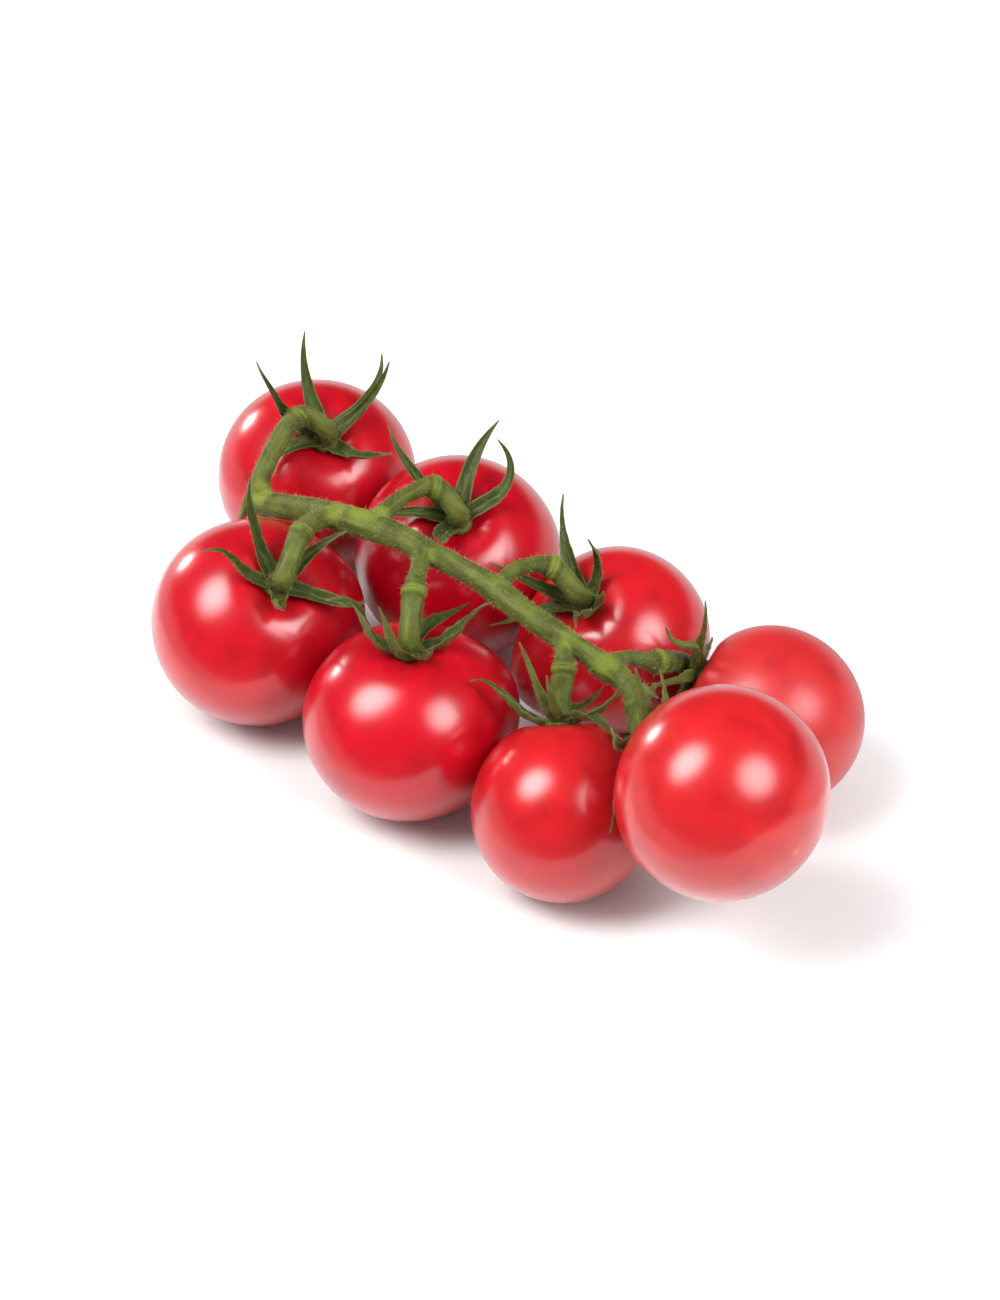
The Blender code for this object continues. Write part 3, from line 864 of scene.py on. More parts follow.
@dataclass
class RipeTomato:
    """One fruit: a round berry with a stem dimple, faint shoulders and a scar at the far end."""

    number: int
    fruit: Fruit
    sides: int = 120
    rings: int = 78
    crowding: float = 1.2
    flat_depth: float = 0.6
    dimple_depth: float = 0.165
    dimple_width: float = 0.27
    lobe_count: int = 5
    lobe_relief: float = 0.004
    lobe_polar: float = 0.75
    lobe_spread: float = 0.45
    bulge_spread: float = math.radians(30)
    crease: float = 0.04
    creased_side: float = math.radians(100)
    swell: float = 0.2
    press: float = 0.12
    warmth: float = 0.0

    @property
    def half(self) -> float:
        """Half the fruit's width, in mm."""
        return self.fruit.across / 2

    def profile(self, polar: float) -> tuple[float, float]:
        """Distance from the fruit's axis and height along it, at an angle from the stem end."""
        out = self.half * math.sin(polar)
        up = self.fruit.squat * self.half * math.cos(polar)
        if polar < math.pi / 2:
            up -= self.dimple_depth * self.half * math.exp(-((out / (self.dimple_width * self.half)) ** 2))
        return out, up

    def centre_height(self) -> float:
        """Height of the fruit's centre above the surface, in mm."""
        if self.fruit.lifted_to:
            return self.fruit.lifted_to
        lean = math.radians(self.fruit.lean)
        lowest = 0.0
        for step in range(181):
            out, up = self.profile(math.radians(step))
            lowest = min(lowest, up * math.cos(lean) - out * math.sin(lean))
        return -lowest - self.flat_depth

    def frame(self) -> Matrix:
        """The matrix from the fruit's own axes, +Z out of its stem end, to the truss's."""
        place = Vector((self.fruit.x, self.fruit.y, self.centre_height())) - TRUSS_MIDDLE
        turned = Matrix.Rotation(math.radians(self.fruit.towards), 4, "Z")
        leaned = Matrix.Rotation(math.radians(self.fruit.lean), 4, "Y")
        return Matrix.Translation(place) @ turned @ leaned

    def bulge_at(self, points: np.ndarray, bulge: np.ndarray) -> np.ndarray:
        """How far the fruit's bulge moves each point, both in the fruit's own axes."""
        size = np.linalg.norm(bulge)
        if not size:
            return np.zeros_like(points)
        facing = points @ bulge / (np.linalg.norm(points, axis=-1) * size)
        angle = np.arccos(np.clip(facing, -1, 1))
        return np.exp(-((angle / self.bulge_spread) ** 2))[..., None] * bulge

    def surface(self) -> Shell:
        """The fruit's skin in the truss's coordinates, with its creases and pressed spot."""
        draw = random.Random(400 + self.number)
        phases = [draw.uniform(0, math.tau) for _ in range(8)]
        shares = (np.arange(self.rings) + 0.25) / (self.rings - 0.5)
        polar = (math.pi * shares**self.crowding)[:, None]
        turn = (np.arange(self.sides) * math.tau / self.sides)[None, :]
        out = self.half * np.sin(polar) * np.ones_like(turn)
        up = self.fruit.squat * self.half * np.cos(polar) * np.ones_like(turn)
        upper = polar < math.pi / 2
        dimple = np.exp(-((out / (self.dimple_width * self.half)) ** 2)) * upper
        up = up - self.dimple_depth * self.half * dimple
        lobes = np.exp(-(((polar - self.lobe_polar) / self.lobe_spread) ** 2)) * np.cos(self.lobe_count * turn)
        creases = sum(np.sin(count * turn + phase) for count, phase in zip((9, 14, 21), phases)) / 3
        creases = creases * (0.6 + 0.4 * np.cos(turn - self.creased_side))
        near_stem = np.exp(-(((out - 8.5) / 3.5) ** 2)) * upper
        waves = np.sin(2 * turn + phases[4]) * np.sin(polar) ** 2 + np.sin(3 * turn + phases[5]) * np.sin(2 * polar)
        out = out * (1 + self.lobe_relief * lobes) + self.swell * waves * np.sin(polar)
        up = up + self.crease * creases * near_stem
        points = np.stack([out * np.cos(turn), out * np.sin(turn), up], axis=-1)
        matrix = np.array(self.frame())
        points = points + self.bulge_at(points, matrix[:3, :3].T @ np.array(self.fruit.bulge))
        placed = points @ matrix[:3, :3].T + matrix[:3, 3]
        placed[..., 2] = 0.5 * (placed[..., 2] + np.sqrt(placed[..., 2] ** 2 + 4 * self.press**2))
        shell = bridge_rings(placed)
        round_axis = [5 * np.cos(turn) + 0 * out, 5 * np.sin(turn) + 0 * out, 1.5 * polar + 0 * out]
        radial = np.stack(round_axis, -1)
        stem_end = np.exp(-((out / (0.3 * self.half)) ** 2)) * upper
        scar = 0.6 * np.exp(-((out / 0.6) ** 4)) * ~upper
        shell.values = {
            "radial": radial.reshape(-1, 3),
            "stem_end": 0.5 * stem_end.ravel(),
            "scar": scar.ravel(),
            "warmth": np.full(out.size, self.warmth),
        }
        return shell

    def build(self, skin: bpy.types.Material) -> bpy.types.Object:
        """Makes the fruit's piece in place of its solid."""
        piece = mesh_object(f"ripe_tomato_{self.number}", [self.surface()], [skin])
        wear(piece, Slot.SKIN, f"tomato_{self.number}")
        return piece


# ---------------------------------------------------------------------------------------------
# The green parts


@dataclass(frozen=True)
class Joint:
    """A knuckle: its middle, the stalk's direction through it, and how young it looks."""

    middle: Vector
    along: Vector
    strength: float


@dataclass
class Stalk:
    """A fruit's stalk, from the main stem through its knuckle to the receptacle."""

    member: Member
    tomato: RipeTomato
    steps: int = 9
    sides: int = 28
    rise: float = 6.0
    receptacle_half_height: float = 1.6
    fork_flare: float = 0.7
    knuckle_radius: float = 3.2
    calyx_radius: float = 2.7
    hub_radius: float = 3.1

    def hub_height(self) -> float:
        """Height of the receptacle's middle along the fruit's axis."""
        return self.tomato.profile(0.0)[1] + GAP + self.receptacle_half_height

    def route(self) -> tuple[list[Vector], int]:
        """The whole stalk's points, and how many of them lie before the knuckle."""
        matrix = self.tomato.frame()
        hub = matrix @ Vector((0, 0, self.hub_height()))
        above_hub = matrix @ Vector((0, 0, self.hub_height() + self.rise))
        points = [Vector(point) - TRUSS_MIDDLE for point in self.member.stalk]
        return smooth_route([*points, above_hub, hub], self.steps), (len(points) - 1) * self.steps

    def joint(self) -> Joint:
        """The swollen joint between the stalk's two parts."""
        route, knuckle = self.route()
        return Joint(route[knuckle], directions_of(route)[knuckle], KNUCKLE_STRENGTH[self.tomato.number - 1])

    def fork_part(self) -> tuple[Shell, list[Vector]]:
        """The stalk as far as the knuckle, swelling towards it, and its middle line."""
        route, knuckle = self.route()
        directions = directions_of(route)
        thin = self.member.stalk_across / 2
        line = [*route[:knuckle], route[knuckle] - directions[knuckle] * GAP / 2]
        radii = []
        for at in range(knuckle + 1):
            share = at / knuckle
            swelling = (self.knuckle_radius - thin) * share**4
            radii.append(thin + swelling + self.fork_flare * (1 - share) ** 2)
        return bridge_rings(tube_rings(line, directions[: knuckle + 1], radii, self.sides)), line

    def calyx_part(self) -> tuple[Shell, list[Vector]]:
        """The stalk from the knuckle to the receptacle, and its middle line."""
        route, knuckle = self.route()
        directions = directions_of(route)
        line = [route[knuckle] + directions[knuckle] * GAP / 2, *route[knuckle + 1 :]]
        radii = []
        for at in range(len(line)):
            share = at / (len(line) - 1)
            swelling = (self.knuckle_radius - self.calyx_radius) * (1 - share) ** 4
            radii.append(self.calyx_radius + swelling + (self.hub_radius - self.calyx_radius) * share**3)
        return bridge_rings(tube_rings(line, directions[knuckle:], radii, self.sides)), line

    def core(self) -> Shell:
        """A short plug that shows as the floor of the groove round the knuckle."""
        route, knuckle = self.route()
        along = directions_of(route)[knuckle]
        line = [route[knuckle] + along * shift for shift in (-1.5, -0.4, 0.4, 1.5)]
        return bridge_rings(tube_rings(line, [along] * 4, [2.2, 3.1, 3.1, 2.2], self.sides))


@dataclass
class GreenSkin:
    """Gives fused green tubes their grain, ridges, collars and colour marks, point by point, with painted shade in
    the grooves beside the knuckles.
    """

    ridge: float = 0.2
    bump: float = 0.05
    collar: float = 0.3
    collar_half: float = 1.05
    groove: float = 0.28
    groove_at: float = 1.9
    groove_half: float = 0.5

    def read_grain(self, shell: Shell, lines: Sequence[Sequence[Vector]]) -> tuple[np.ndarray, np.ndarray]:
        """Where each point lies round and along its nearest tube, and how far its ridge stands out.

        Args:
            shell: The fused skin in mm.
            lines: The middle lines of the tubes that it was fused from.

        Returns:
            The place on the tube, in mm, and the height of the ridge there.
        """
        tree = KDTree(sum(len(line) for line in lines))
        starts: list[float] = []
        frames: list[tuple[Vector, Vector, Vector]] = []
        for number, line in enumerate(lines):
            run = 100.0 * number
            for at, along in enumerate(directions_of(line)):
                run += (line[at] - line[at - 1]).length if at else 0.0
                across = (Vector((0, 0, 1)) - along * along.z).normalized()
                tree.insert(line[at], len(starts))
                starts.append(run)
                frames.append((across, along.cross(across), along))
        tree.balance()
        grain = np.zeros((len(shell.points), 3))
        lift = np.zeros(len(shell.points))
        for at, place in enumerate(shell.points):
            point = Vector(place)
            middle, index, _ = tree.find(point)
            across, over, along = frames[index]
            offset = point - middle
            spot = Vector((offset.dot(across), offset.dot(over), starts[index] + offset.dot(along)))
            grain[at] = spot
            ridges = noise.noise(Vector((spot.x * 0.8, spot.y * 0.8, spot.z * 0.07)))
            knobs = noise.noise(Vector((spot.x * 0.3, spot.y * 0.3, spot.z * 0.22 + 40)))
            lift[at] = self.ridge * (ridges + knobs) + self.bump * noise.noise(point * 1.2)
        return grain, lift

    def dress(
        self,
        shell: Shell,
        outwards: np.ndarray,
        lines: Sequence[Sequence[Vector]],
        joints: Sequence[Joint],
        young: Sequence[Spot] = (),
        withered: Sequence[Spot] = (),
    ) -> Shell:
        """Moves the points into ridges and collars and writes their values.

        Args:
            shell: The fused skin in mm.
            outwards: The skin's direction at each point.
            lines: The middle lines of the tubes that it was fused from.
            joints: The knuckles that lie in the piece or at its end.
            young: Places of younger, yellower tissue.
            withered: Places that have dried up.

        Returns:
            The same shell, ridged and marked.
        """
        grain, lift = self.read_grain(shell, lines)
        marks = np.zeros(len(shell.points))
        groove_shade = np.zeros(len(shell.points))
        for joint in joints:
            offset = shell.points - np.array(joint.middle)
            run = offset @ np.array(joint.along)
            near = np.exp(-((np.linalg.norm(offset, axis=1) / 4.6) ** 8))
            ring = np.exp(-((run / self.collar_half) ** 4)) * near
            dent = np.exp(-(((np.abs(run) - self.groove_at) / self.groove_half) ** 2)) * near
            lift += self.collar * ring - self.groove * dent
            marks = np.maximum(marks, joint.strength * np.exp(-((run / 1.6) ** 4)) * near)
            # Painted shade: the groove beside each knuckle is marked to be darkened, and is written out as the
            # "groove" value.
            groove_shade = np.maximum(groove_shade, 0.75 * dent)
        shell.points = shell.points + outwards * lift[:, None]
        for spot in young:
            marks = np.maximum(marks, self.spot_strength(shell, spot))
        dry = np.zeros(len(shell.points))
        for spot in withered:
            dry = np.maximum(dry, self.spot_strength(shell, spot))
        shell.values = {"grain": grain, "young": marks, "groove": groove_shade, "dry": dry}
        return shell

    def spot_strength(self, shell: Shell, spot: Spot) -> np.ndarray:
        """How strongly a spot colours each point."""
        middle = np.array((spot.x, spot.y, spot.z)) - np.array(TRUSS_MIDDLE)
        away = np.linalg.norm(shell.points - middle, axis=1)
        return spot.strength * np.exp(-((away / spot.reach) ** 4))


@dataclass
class MainStem:
    """The main stem with its stalks as far as their knuckles, torn heel and withered bud."""

    stalks: list[Stalk]
    sides: int = 32
    steps: int = 8
    voxel: float = 0.36
    rounds: int = 5
    frill_leaves: int = 9
    frill_length: float = 3.4
    frill_width: float = 1.3
    skin: GreenSkin = field(default_factory=GreenSkin)

    def tube(self, points: Sequence[StemPoint]) -> tuple[Shell, list[Vector]]:
        """A tube through stem points, and its middle line."""
        places = [Vector((point.x, point.y, point.z)) - TRUSS_MIDDLE for point in points]
        widths = [Vector((point.across / 2, 0, 0)) for point in points]
        radii = [width.x for width in smooth_route(widths, self.steps)]
        line = smooth_route(places, self.steps)
        return bridge_rings(tube_rings(line, directions_of(line), radii, self.sides)), line

    def frill(self, bud: Sequence[Vector]) -> list[Shell]:
        """The small withered leaves that stand round the bud's end."""
        draw = random.Random(21)
        along = directions_of(bud)[-1]
        across = along.orthogonal().normalized()
        leaves = []
        for number in range(self.frill_leaves):
            turn = math.tau * number / self.frill_leaves + draw.uniform(-0.3, 0.3)
            out = Matrix.Rotation(turn, 3, along) @ across
            aside = along.cross(out)
            spread = draw.uniform(0.3, 1.1)
            start = bud[-1] - along * draw.uniform(1.0, 3.0) + out * 0.7
            length = self.frill_length * draw.uniform(0.6, 1.1)
            line = []
            for step in range(9):
                share = step / 8
                way = along * math.cos(spread * (0.4 + share)) + out * math.sin(spread * (0.4 + share))
                line.append(start + way * length * share)
            widths = [self.frill_width * (1 - 0.8 * (step / 8) ** 2) for step in range(9)]
            folds = [(0.35, 0.35)] * 9
            leaves.append(leaf_shell(line, [aside] * 9, widths, [0.35] * 9, folds, number * 3.1, 2))
        return leaves

    def build(self, green: bpy.types.Material, leaf: bpy.types.Material) -> bpy.types.Object:
        """Makes the stem's piece in place of its solid."""
        tubes = [self.tube(MAIN_STEM), self.tube(HEEL), self.tube(BUD)]
        tubes += [stalk.fork_part() for stalk in self.stalks]
        fused, outwards = melt_together("stem in the making", [shell for shell, _ in tubes], self.voxel, self.rounds)
        joints = [stalk.joint() for stalk in self.stalks]
        heel, bud = HEEL[-1], BUD[-1]
        withered = (Spot(heel.x, heel.y, heel.z, 4.5, 0.8), Spot(bud.x, bud.y, bud.z, 3.0, 0.6))
        self.skin.dress(fused, outwards, [line for _, line in tubes], joints, YOUNG_SPOTS, withered)
        piece = mesh_object("green_stem", [fused, *self.frill(tubes[2][1])], [green, leaf])
        wear(piece, Slot.STEM, "vine_stem")
        return piece


@dataclass
class GreenCalyx:
    """A fruit's calyx: the stalk from the knuckle, the receptacle and its sepals."""

    number: int
    member: Member
    stalk: Stalk
    receptacle_radius: float = 4.2
    receptacle_sides: int = 36
    receptacle_rings: int = 16
    sepal_start: float = 1.5
    cad_stations: int = 9
    steps: int = 4
    tip_width: float = 0.4
    thickness: float = 0.8
    tip_thickness: float = 0.35
    fold: float = 0.14
    fold_more: float = 0.24
    most_curl: float = 14.0
    most_twist: float = 35.0
    voxel: float = 0.3
    rounds: int = 4
    skin: GreenSkin = field(default_factory=lambda: GreenSkin(ridge=0.15, bump=0.06))

    def receptacle(self) -> Shell:
        """The flattened ball that the sepals grow from."""
        turns = np.arange(self.receptacle_sides) * math.tau / self.receptacle_sides
        rings = np.empty((self.receptacle_rings, self.receptacle_sides, 3))
        height = self.stalk.hub_height()
        for row in range(self.receptacle_rings):
            polar = math.pi * (row + 0.3) / (self.receptacle_rings - 0.4)
            rings[row, :, 0] = self.receptacle_radius * math.sin(polar) * np.cos(turns)
            rings[row, :, 1] = self.receptacle_radius * math.sin(polar) * np.sin(turns)
            rings[row, :, 2] = height + self.stalk.receptacle_half_height * math.cos(polar)
        matrix = np.array(self.stalk.tomato.frame())
        return bridge_rings(rings @ matrix[:3, :3].T + matrix[:3, 3])

    def blade_line(self, sepal: Sepal) -> list[Vector]:
        """The blade's middle line in the fruit's own axes, as the solid has it but smooth."""
        heading = math.radians(sepal.turn)
        start = self.sepal_start
        middle = Vector((start * math.cos(heading), start * math.sin(heading), self.stalk.hub_height()))
        first = -3 * sepal.root + 4 * sepal.middle - sepal.tip
        second = 2 * sepal.root - 4 * sepal.middle + 2 * sepal.tip
        step = sepal.length / (self.cad_stations - 1)
        line = []
        for station in range(self.cad_stations):
            line.append(middle.copy())
            share = station / (self.cad_stations - 1)
            slope = math.radians(sepal.root + first * share + second * share * share)
            heading = math.radians(sepal.turn + sepal.sweep * share * share)
            level = Vector((math.cos(heading), math.sin(heading), 0))
            middle = middle + (level * math.cos(slope) + Vector((0, 0, math.sin(slope)))) * step
        return smooth_route(line, self.steps)

    def curled(self, line: Sequence[Vector], curl: Curl) -> list[Vector]:
        """The line with its last part bent aside and upwards, in the fruit's own axes."""
        bent = [line[0].copy()]
        for at in range(1, len(line)):
            step = line[at] - line[at - 1]
            share = at / (len(line) - 1)
            strength = max(0.0, (share - curl.start) / (1 - curl.start)) ** 1.3
            step = Matrix.Rotation(math.radians(curl.aside) * strength, 3, "Z") @ step
            side = step.cross(Vector((0, 0, 1))).normalized()
            step = Matrix.Rotation(math.radians(curl.up) * strength, 3, side) @ step
            bent.append(bent[-1] + step)
        return bent

    def blade(self, place: int, sepal: Sepal, draw: random.Random) -> Shell:
        """One sepal: a thin folded leaf with a middle rib, wavy edges and a curled tip.

        Args:
            place: The blade's place in its row.
            sepal: The blade's row in the table.
            draw: The calyx's own seeded source of small differences.

        Returns:
            The closed shell, placed in the truss.
        """
        key = (self.number, place)
        small_curl = Curl(draw.uniform(-self.most_curl, self.most_curl), draw.uniform(0, self.most_curl))
        line = self.curled(self.blade_line(sepal), TIP_CURLS.get(key, small_curl))
        tip_width = BLUNT_TIPS.get(key, self.tip_width)
        twist = math.radians(draw.uniform(-self.most_twist, self.most_twist))
        phases = [draw.uniform(0, math.tau) for _ in range(3)]
        depths = [draw.uniform(0.05, 0.14) for _ in range(2)]
        asides, widths, thicks, folds = [], [], [], []
        for row, along in enumerate(directions_of(line)):
            share = row / (len(line) - 1)
            heading = math.radians(sepal.turn + sepal.sweep * share * share)
            aside = Vector((-math.sin(heading), math.cos(heading), 0))
            asides.append(Matrix.Rotation(twist * share**1.5, 3, along) @ aside)
            width = blend(tip_width, sepal.width, (1 - share) ** 1.1 * (1 + 0.6 * share))
            widths.append(width * (1 + 0.07 * math.sin(7 * share + phases[2])))
            thicks.append(blend(self.thickness, self.tip_thickness, share))
            fold = (self.fold + self.fold_more * math.sin(math.pi * share**0.8)) * width
            waves = [
                depth * width * math.sin(10 * share + phase) * math.sin(math.pi * share)
                for phase, depth in zip(phases, depths)
            ]
            folds.append((fold + waves[0], fold + waves[1]))
        shell = leaf_shell(line, asides, widths, thicks, folds, self.number * 10.7 + place * 2.3)
        matrix = np.array(self.stalk.tomato.frame())
        shell.points = shell.points @ matrix[:3, :3].T + matrix[:3, 3]
        return shell

    def build(self, green: bpy.types.Material, leaf: bpy.types.Material) -> bpy.types.Object:
        """Makes the calyx's piece in place of its solid."""
        tube, line = self.stalk.calyx_part()
        fused, outwards = melt_together("calyx in the making", [tube, self.receptacle()], self.voxel, self.rounds)
        joint = self.stalk.joint()
        self.skin.dress(fused, outwards, [line], [joint])
        draw = random.Random(70 + self.number)
        blades = [self.blade(place, sepal, draw) for place, sepal in enumerate(self.member.sepals)]
        core = self.stalk.core()
        core.values = {"young": np.full(len(core.points), joint.strength)}
        piece = mesh_object(f"green_calyx_{self.number}", [fused, *blades, core], [green, leaf])
        wear(piece, Slot.CALYX, f"calyx_{self.number}")
        return piece


@dataclass
class HairCoat:
    """Short hairs that stand on green pieces, set out by a Geometry Nodes tree."""

    per_square_mm: float
    length: float
    width: float
    seed: int
    sides: int = 3
    lean: float = 0.6

    def tree(self, finish: bpy.types.Material) -> bpy.types.GeometryNodeTree:
        """The tree that replaces a surface by the hairs on it."""
        tree = bpy.data.node_groups.new("hair coat", "GeometryNodeTree")
        face = tree.interface
        face.new_socket("Surface", in_out="INPUT", socket_type="NodeSocketGeometry")
        for name, kind in (
            ("Density", "NodeSocketFloat"),
            ("Length", "NodeSocketFloat"),
            ("Width", "NodeSocketFloat"),
            ("Seed", "NodeSocketInt"),
        ):
            face.new_socket(name, in_out="INPUT", socket_type=kind)
        face.new_socket("Hairs", in_out="OUTPUT", socket_type="NodeSocketGeometry")
        nodes, links = tree.nodes, tree.links
        given = nodes.new("NodeGroupInput")
        given_out = nodes.new("NodeGroupOutput")
        scatter = nodes.new("GeometryNodeDistributePointsOnFaces")
        links.new(given.outputs["Surface"], scatter.inputs["Mesh"])
        links.new(given.outputs["Density"], scatter.inputs["Density"])
        links.new(given.outputs["Seed"], scatter.inputs["Seed"])
        hair = nodes.new("GeometryNodeMeshCone")
        hair.inputs["Vertices"].default_value = self.sides
        hair.inputs["Radius Top"].default_value = 0.0
        links.new(given.outputs["Width"], hair.inputs["Radius Bottom"])
        links.new(given.outputs["Length"], hair.inputs["Depth"])
        tilt = nodes.new("FunctionNodeRandomValue")
        tilt.data_type = "FLOAT_VECTOR"
        tilt.inputs[0].default_value = (-self.lean, -self.lean, -math.pi)
        tilt.inputs[1].default_value = (self.lean, self.lean, math.pi)
        links.new(given.outputs["Seed"], tilt.inputs["Seed"])
        turn = nodes.new("FunctionNodeRotateRotation")
        turn.rotation_space = "LOCAL"
        links.new(scatter.outputs["Rotation"], turn.inputs[0])
        links.new(tilt.outputs[0], turn.inputs[1])
        size = nodes.new("FunctionNodeRandomValue")
        size.data_type = "FLOAT"
        size.inputs[2].default_value = 0.45
        size.inputs[3].default_value = 1.25
        links.new(given.outputs["Seed"], size.inputs["Seed"])
        stand = nodes.new("GeometryNodeInstanceOnPoints")
        links.new(scatter.outputs["Points"], stand.inputs["Points"])
        links.new(hair.outputs["Mesh"], stand.inputs["Instance"])
        links.new(turn.outputs[0], stand.inputs["Rotation"])
        links.new(size.outputs[1], stand.inputs["Scale"])
        real = nodes.new("GeometryNodeRealizeInstances")
        links.new(stand.outputs["Instances"], real.inputs["Geometry"])
        dye = nodes.new("GeometryNodeSetMaterial")
        dye.inputs["Material"].default_value = finish
        links.new(real.outputs["Geometry"], dye.inputs["Geometry"])
        links.new(dye.outputs["Geometry"], given_out.inputs["Hairs"])
        return tree

    def grow(
        self, name: str, slot: Slot, surfaces: Sequence[bpy.types.Object], finish: bpy.types.Material
    ) -> bpy.types.Object:
        """Grows the hairs of some green pieces as one piece.

        Args:
            name: The hair piece's name.
            slot: The record's slot that the hairs belong to. It is not used.
            surfaces: The green pieces that they stand on.
            finish: The hairs' material.

        Returns:
            The piece, a plain mesh.
        """
        builder = bmesh.new()
        for surface in surfaces:
            builder.from_mesh(surface.data)
        ground = bpy.data.meshes.new(name + " ground")
        builder.to_mesh(ground)
        builder.free()
        thing = bpy.data.objects.new(name + " ground", ground)
        bpy.context.scene.collection.objects.link(thing)
        coat = thing.modifiers.new("hair coat", "NODES")
        coat.node_group = self.tree(finish)
        sizes = {
            "Density": self.per_square_mm / MM**2,
            "Length": self.length * MM,
            "Width": self.width * MM / 2,
            "Seed": self.seed,
        }
        for item in coat.node_group.interface.items_tree:
            if item.in_out == "INPUT" and item.name in sizes:
                coat[item.identifier] = sizes[item.name]
        mesh = settled_mesh(thing)
        mesh.name = name
        bpy.data.objects.remove(thing, do_unlink=True)
        bpy.data.meshes.remove(ground)
        piece = bpy.data.objects.new(name, mesh)
        bpy.context.scene.collection.objects.link(piece)
        wear(piece, slot)
        return piece


# ---------------------------------------------------------------------------------------------
# The studio


@dataclass(frozen=True)
class StudioLamp:
    """A soft lamp: the way to it, its light on a surface that faces it, and its size in mm."""

    name: str
    towards: tuple[float, float, float]
    light: float
    wide: float
    high: float
    distance: float = 2200.0


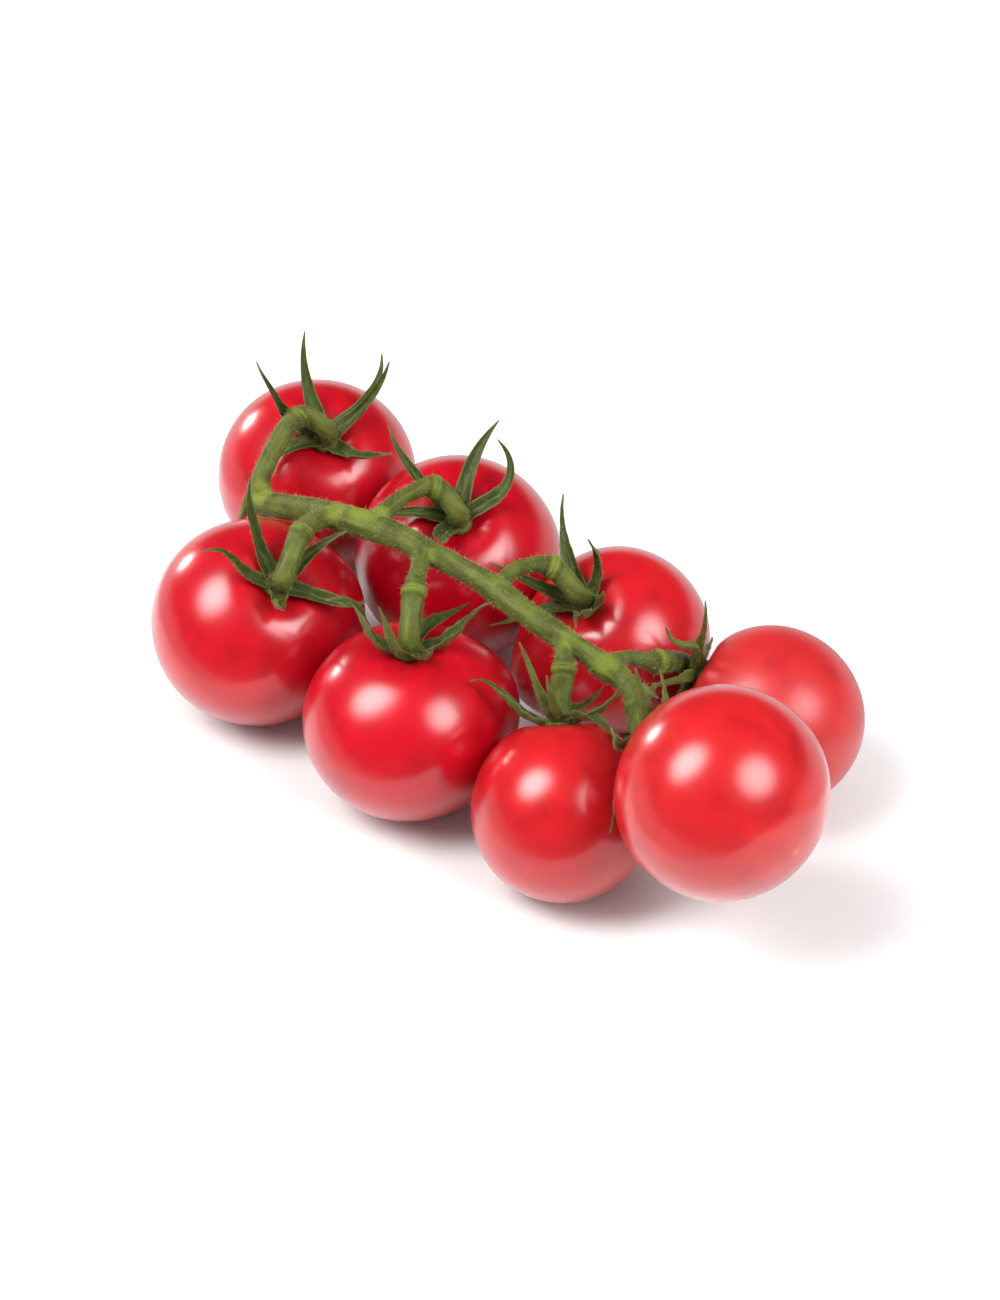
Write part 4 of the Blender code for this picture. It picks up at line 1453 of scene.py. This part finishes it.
@dataclass
class Studio:
    """The white floor, the lamps and the camera at the photo's angle."""

    azimuth: float = 40.0
    elevation: float = 39.0
    distance: float = 1000.0
    aim: tuple[float, float, float] = (-22.0, 29.0, 0.0)
    lens: float = 98.9
    floor_half: float = 1300.0
    mirrored: tuple[float, float, float, float] = (-170.0, -104.0, 400.0, 80.0)
    fill: float = 0.5
    wall: float = 0.8
    dark: float = 0.015
    wall_top: tuple[float, float] = (-0.06, 0.14)
    dark_front: float = 0.55
    core: float = 0.25
    lamps: tuple[StudioLamp, ...] = (
        StudioLamp("soft lamp left", (-0.31, -0.51, 0.81), 4.1, 1700.0, 2400.0),
        StudioLamp("soft lamp right", (0.74, 0.05, 0.69), 3.1, 2100.0, 2000.0),
        StudioLamp("small lamp", (-0.98, 0.09, 0.20), 0.8, 640.0, 640.0),
    )

    def place_camera(self) -> None:
        """Sets the camera where the photo was taken from."""
        turn, tilt = math.radians(self.azimuth), math.radians(self.elevation)
        back = Vector((math.sin(turn) * math.cos(tilt), -math.cos(turn) * math.cos(tilt), math.sin(tilt)))
        lens = bpy.data.cameras.new("camera")
        lens.lens = self.lens
        lens.sensor_width = 36.0
        lens.clip_start = 0.05
        lens.clip_end = 20.0
        camera = bpy.data.objects.new("camera", lens)
        camera.location = (Vector(self.aim) - TRUSS_MIDDLE + back * self.distance) * MM
        camera.rotation_euler = (-back).to_track_quat("-Z", "Y").to_euler()
        bpy.context.scene.collection.objects.link(camera)
        bpy.context.scene.camera = camera

    def hang_lamps(self) -> None:
        """Hangs the lamps round the truss, each turned to its middle."""
        for lamp in self.lamps:
            light = bpy.data.lights.new(lamp.name, "AREA")
            light.shape = "ELLIPSE"
            light.size = lamp.wide * MM
            light.size_y = lamp.high * MM
            light.energy = lamp.light * math.pi * (lamp.distance * MM) ** 2
            self.soften(light)
            thing = bpy.data.objects.new(lamp.name, light)
            way = Vector(lamp.towards).normalized()
            thing.location = way * lamp.distance * MM
            thing.rotation_euler = way.to_track_quat("Z", "Y").to_euler()
            bpy.context.scene.collection.objects.link(thing)

    def soften(self, light: bpy.types.Light) -> None:
        """Lets a lamp's glow fade from its middle to its rim, with the same light in all."""
        radii = (np.arange(200) + 0.5) / 200
        fade = np.clip((radii - self.core) / (1 - self.core), 0, 1)
        share = float(((1 - fade * fade * (3 - 2 * fade)) * radii).sum() / radii.sum())
        light.use_nodes = True
        nodes, links = light.node_tree.nodes, light.node_tree.links
        spot = nodes.new("ShaderNodeNewGeometry")
        away = nodes.new("ShaderNodeVectorMath")
        away.operation = "DISTANCE"
        away.inputs[1].default_value = (0.5, 0.5, 0.0)
        links.new(spot.outputs["Parametric"], away.inputs[0])
        glow = nodes.new("ShaderNodeMapRange")
        glow.interpolation_type = "SMOOTHSTEP"
        glow.inputs["From Min"].default_value = self.core / 2
        glow.inputs["From Max"].default_value = 0.5
        glow.inputs["To Min"].default_value = 1 / share
        glow.inputs["To Max"].default_value = 0.0
        links.new(away.outputs["Value"], glow.inputs["Value"])
        links.new(glow.outputs["Result"], nodes["Emission"].inputs["Strength"])

    def light_room(self) -> None:
        """The room: even light on matt things, and a low pale wall behind for shiny ones to mirror."""
        world = bpy.data.worlds.new("room")
        world.use_nodes = True
        nodes, links = world.node_tree.nodes, world.node_tree.links
        shine = nodes["Background"]
        shine.inputs["Color"].default_value = (1.0, 1.0, 1.0, 1.0)
        path = nodes.new("ShaderNodeLightPath")
        way = nodes.new("ShaderNodeTexCoord")
        parts = nodes.new("ShaderNodeSeparateXYZ")
        links.new(way.outputs["Generated"], parts.inputs[0])
        front = nodes.new("ShaderNodeVectorMath")
        front.operation = "DOT_PRODUCT"
        turn = math.radians(self.azimuth)
        front.inputs[1].default_value = (math.sin(turn), -math.cos(turn), 0.0)
        links.new(way.outputs["Generated"], front.inputs[0])
        ahead = nodes.new("ShaderNodeMath")
        ahead.operation = "MAXIMUM"
        ahead.inputs[1].default_value = 0.0
        links.new(front.outputs["Value"], ahead.inputs[0])
        level = nodes.new("ShaderNodeMath")
        level.operation = "MULTIPLY_ADD"
        level.inputs[1].default_value = self.dark_front
        links.new(ahead.outputs[0], level.inputs[0])
        links.new(parts.outputs["Z"], level.inputs[2])
        wall = nodes.new("ShaderNodeMapRange")
        wall.interpolation_type = "SMOOTHSTEP"
        wall.inputs["From Min"].default_value = self.wall_top[0]
        wall.inputs["From Max"].default_value = self.wall_top[1]
        wall.inputs["To Min"].default_value = self.wall
        wall.inputs["To Max"].default_value = self.dark
        links.new(level.outputs[0], wall.inputs["Value"])
        matt = nodes.new("ShaderNodeMapRange")
        matt.inputs["To Max"].default_value = self.fill
        links.new(path.outputs["Is Diffuse Ray"], matt.inputs["Value"])
        links.new(wall.outputs["Result"], matt.inputs["To Min"])
        seen = nodes.new("ShaderNodeMapRange")
        seen.inputs["To Max"].default_value = 1.0
        links.new(path.outputs["Is Camera Ray"], seen.inputs["Value"])
        links.new(matt.outputs["Result"], seen.inputs["To Min"])
        links.new(seen.outputs["Result"], shine.inputs["Strength"])
        bpy.context.scene.world = world

    def lay_floor(self, name: str, faces: Sequence[Sequence[int]], mirrored: bool, paper: bpy.types.Material) -> None:
        """Lays part of the floor at the height that the truss rests on.

        Args:
            name: The part's name.
            faces: Its faces, by their corners in the two nested squares.
            mirrored: Whether shiny things mirror it.
            paper: Its material.
        """
        left, front, right, back = self.mirrored
        half = self.floor_half
        inner = [(left, front), (right, front), (right, back), (left, back)]
        outer = [(-half, -half), (half, -half), (half, half), (-half, half)]
        mesh = bpy.data.meshes.new(name)
        mesh.from_pydata([(x * MM, y * MM, 0.0) for x, y in inner + outer], [], faces)
        mesh.materials.append(paper)
        floor = bpy.data.objects.new(name, mesh)
        floor.visible_glossy = mirrored
        bpy.context.scene.collection.objects.link(floor)

    def build(self, paper: bpy.types.Material) -> None:
        """Makes the whole studio."""
        self.place_camera()
        self.hang_lamps()
        self.light_room()
        self.lay_floor("floor", [(0, 1, 2, 3)], True, paper)
        around = [(4, 5, 1, 0), (5, 6, 2, 1), (6, 7, 3, 2), (7, 4, 0, 3)]
        self.lay_floor("floor around", around, False, paper)
        bpy.context.scene.view_settings.view_transform = "Standard"


# How warm each fruit's red is, from crimson to orange red
WARMTH = (0.15, 0.2, 0.0, 0.1, 0.5, 0.6, 0.85, 1.0)

# How deep the skin is creased beside each calyx, in mm
CREASES = (0.03, 0.03, 0.03, 0.03, 0.01, 0.02, 0.02, 0.03)


def main() -> None:
    """Builds the studio, the fruits, the green pieces and their hairs."""
    logging.basicConfig(level=logging.INFO, format="%(message)s")
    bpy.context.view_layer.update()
    Studio().build(PaleFloor().make())
    skin, dull_skin = TomatoSkin().make(), TomatoSkin("dull tomato skin", roughness=0.5, gloss=0.36).make()
    green, leaf, hair = StemGreen().make(), SepalGreen().make(), PlantHair().make()
    tomatoes = [
        RipeTomato(number, member.fruit, crease=crease, warmth=warmth)
        for number, (member, crease, warmth) in enumerate(zip(TRUSS, CREASES, WARMTH), start=1)
    ]
    stalks = [Stalk(member, tomato) for member, tomato in zip(TRUSS, tomatoes)]
    for tomato in tomatoes:
        tomato.build(dull_skin if tomato.number == 8 else skin)
    stem = MainStem(stalks).build(green, leaf)
    calyxes = []
    for number, (member, stalk) in enumerate(zip(TRUSS, stalks), start=1):
        calyxes.append(GreenCalyx(number, member, stalk).build(green, leaf))
    HairCoat(per_square_mm=1.8, length=0.5, width=0.07, seed=3).grow("stem_down", Slot.STEM, [stem], hair)
    HairCoat(per_square_mm=0.5, length=1.4, width=0.08, seed=4).grow("stem_hairs", Slot.STEM, [stem], hair)
    HairCoat(per_square_mm=1.1, length=0.55, width=0.07, seed=5).grow("calyx_hairs", Slot.CALYX, calyxes, hair)


if __name__ == "__main__":
    main()
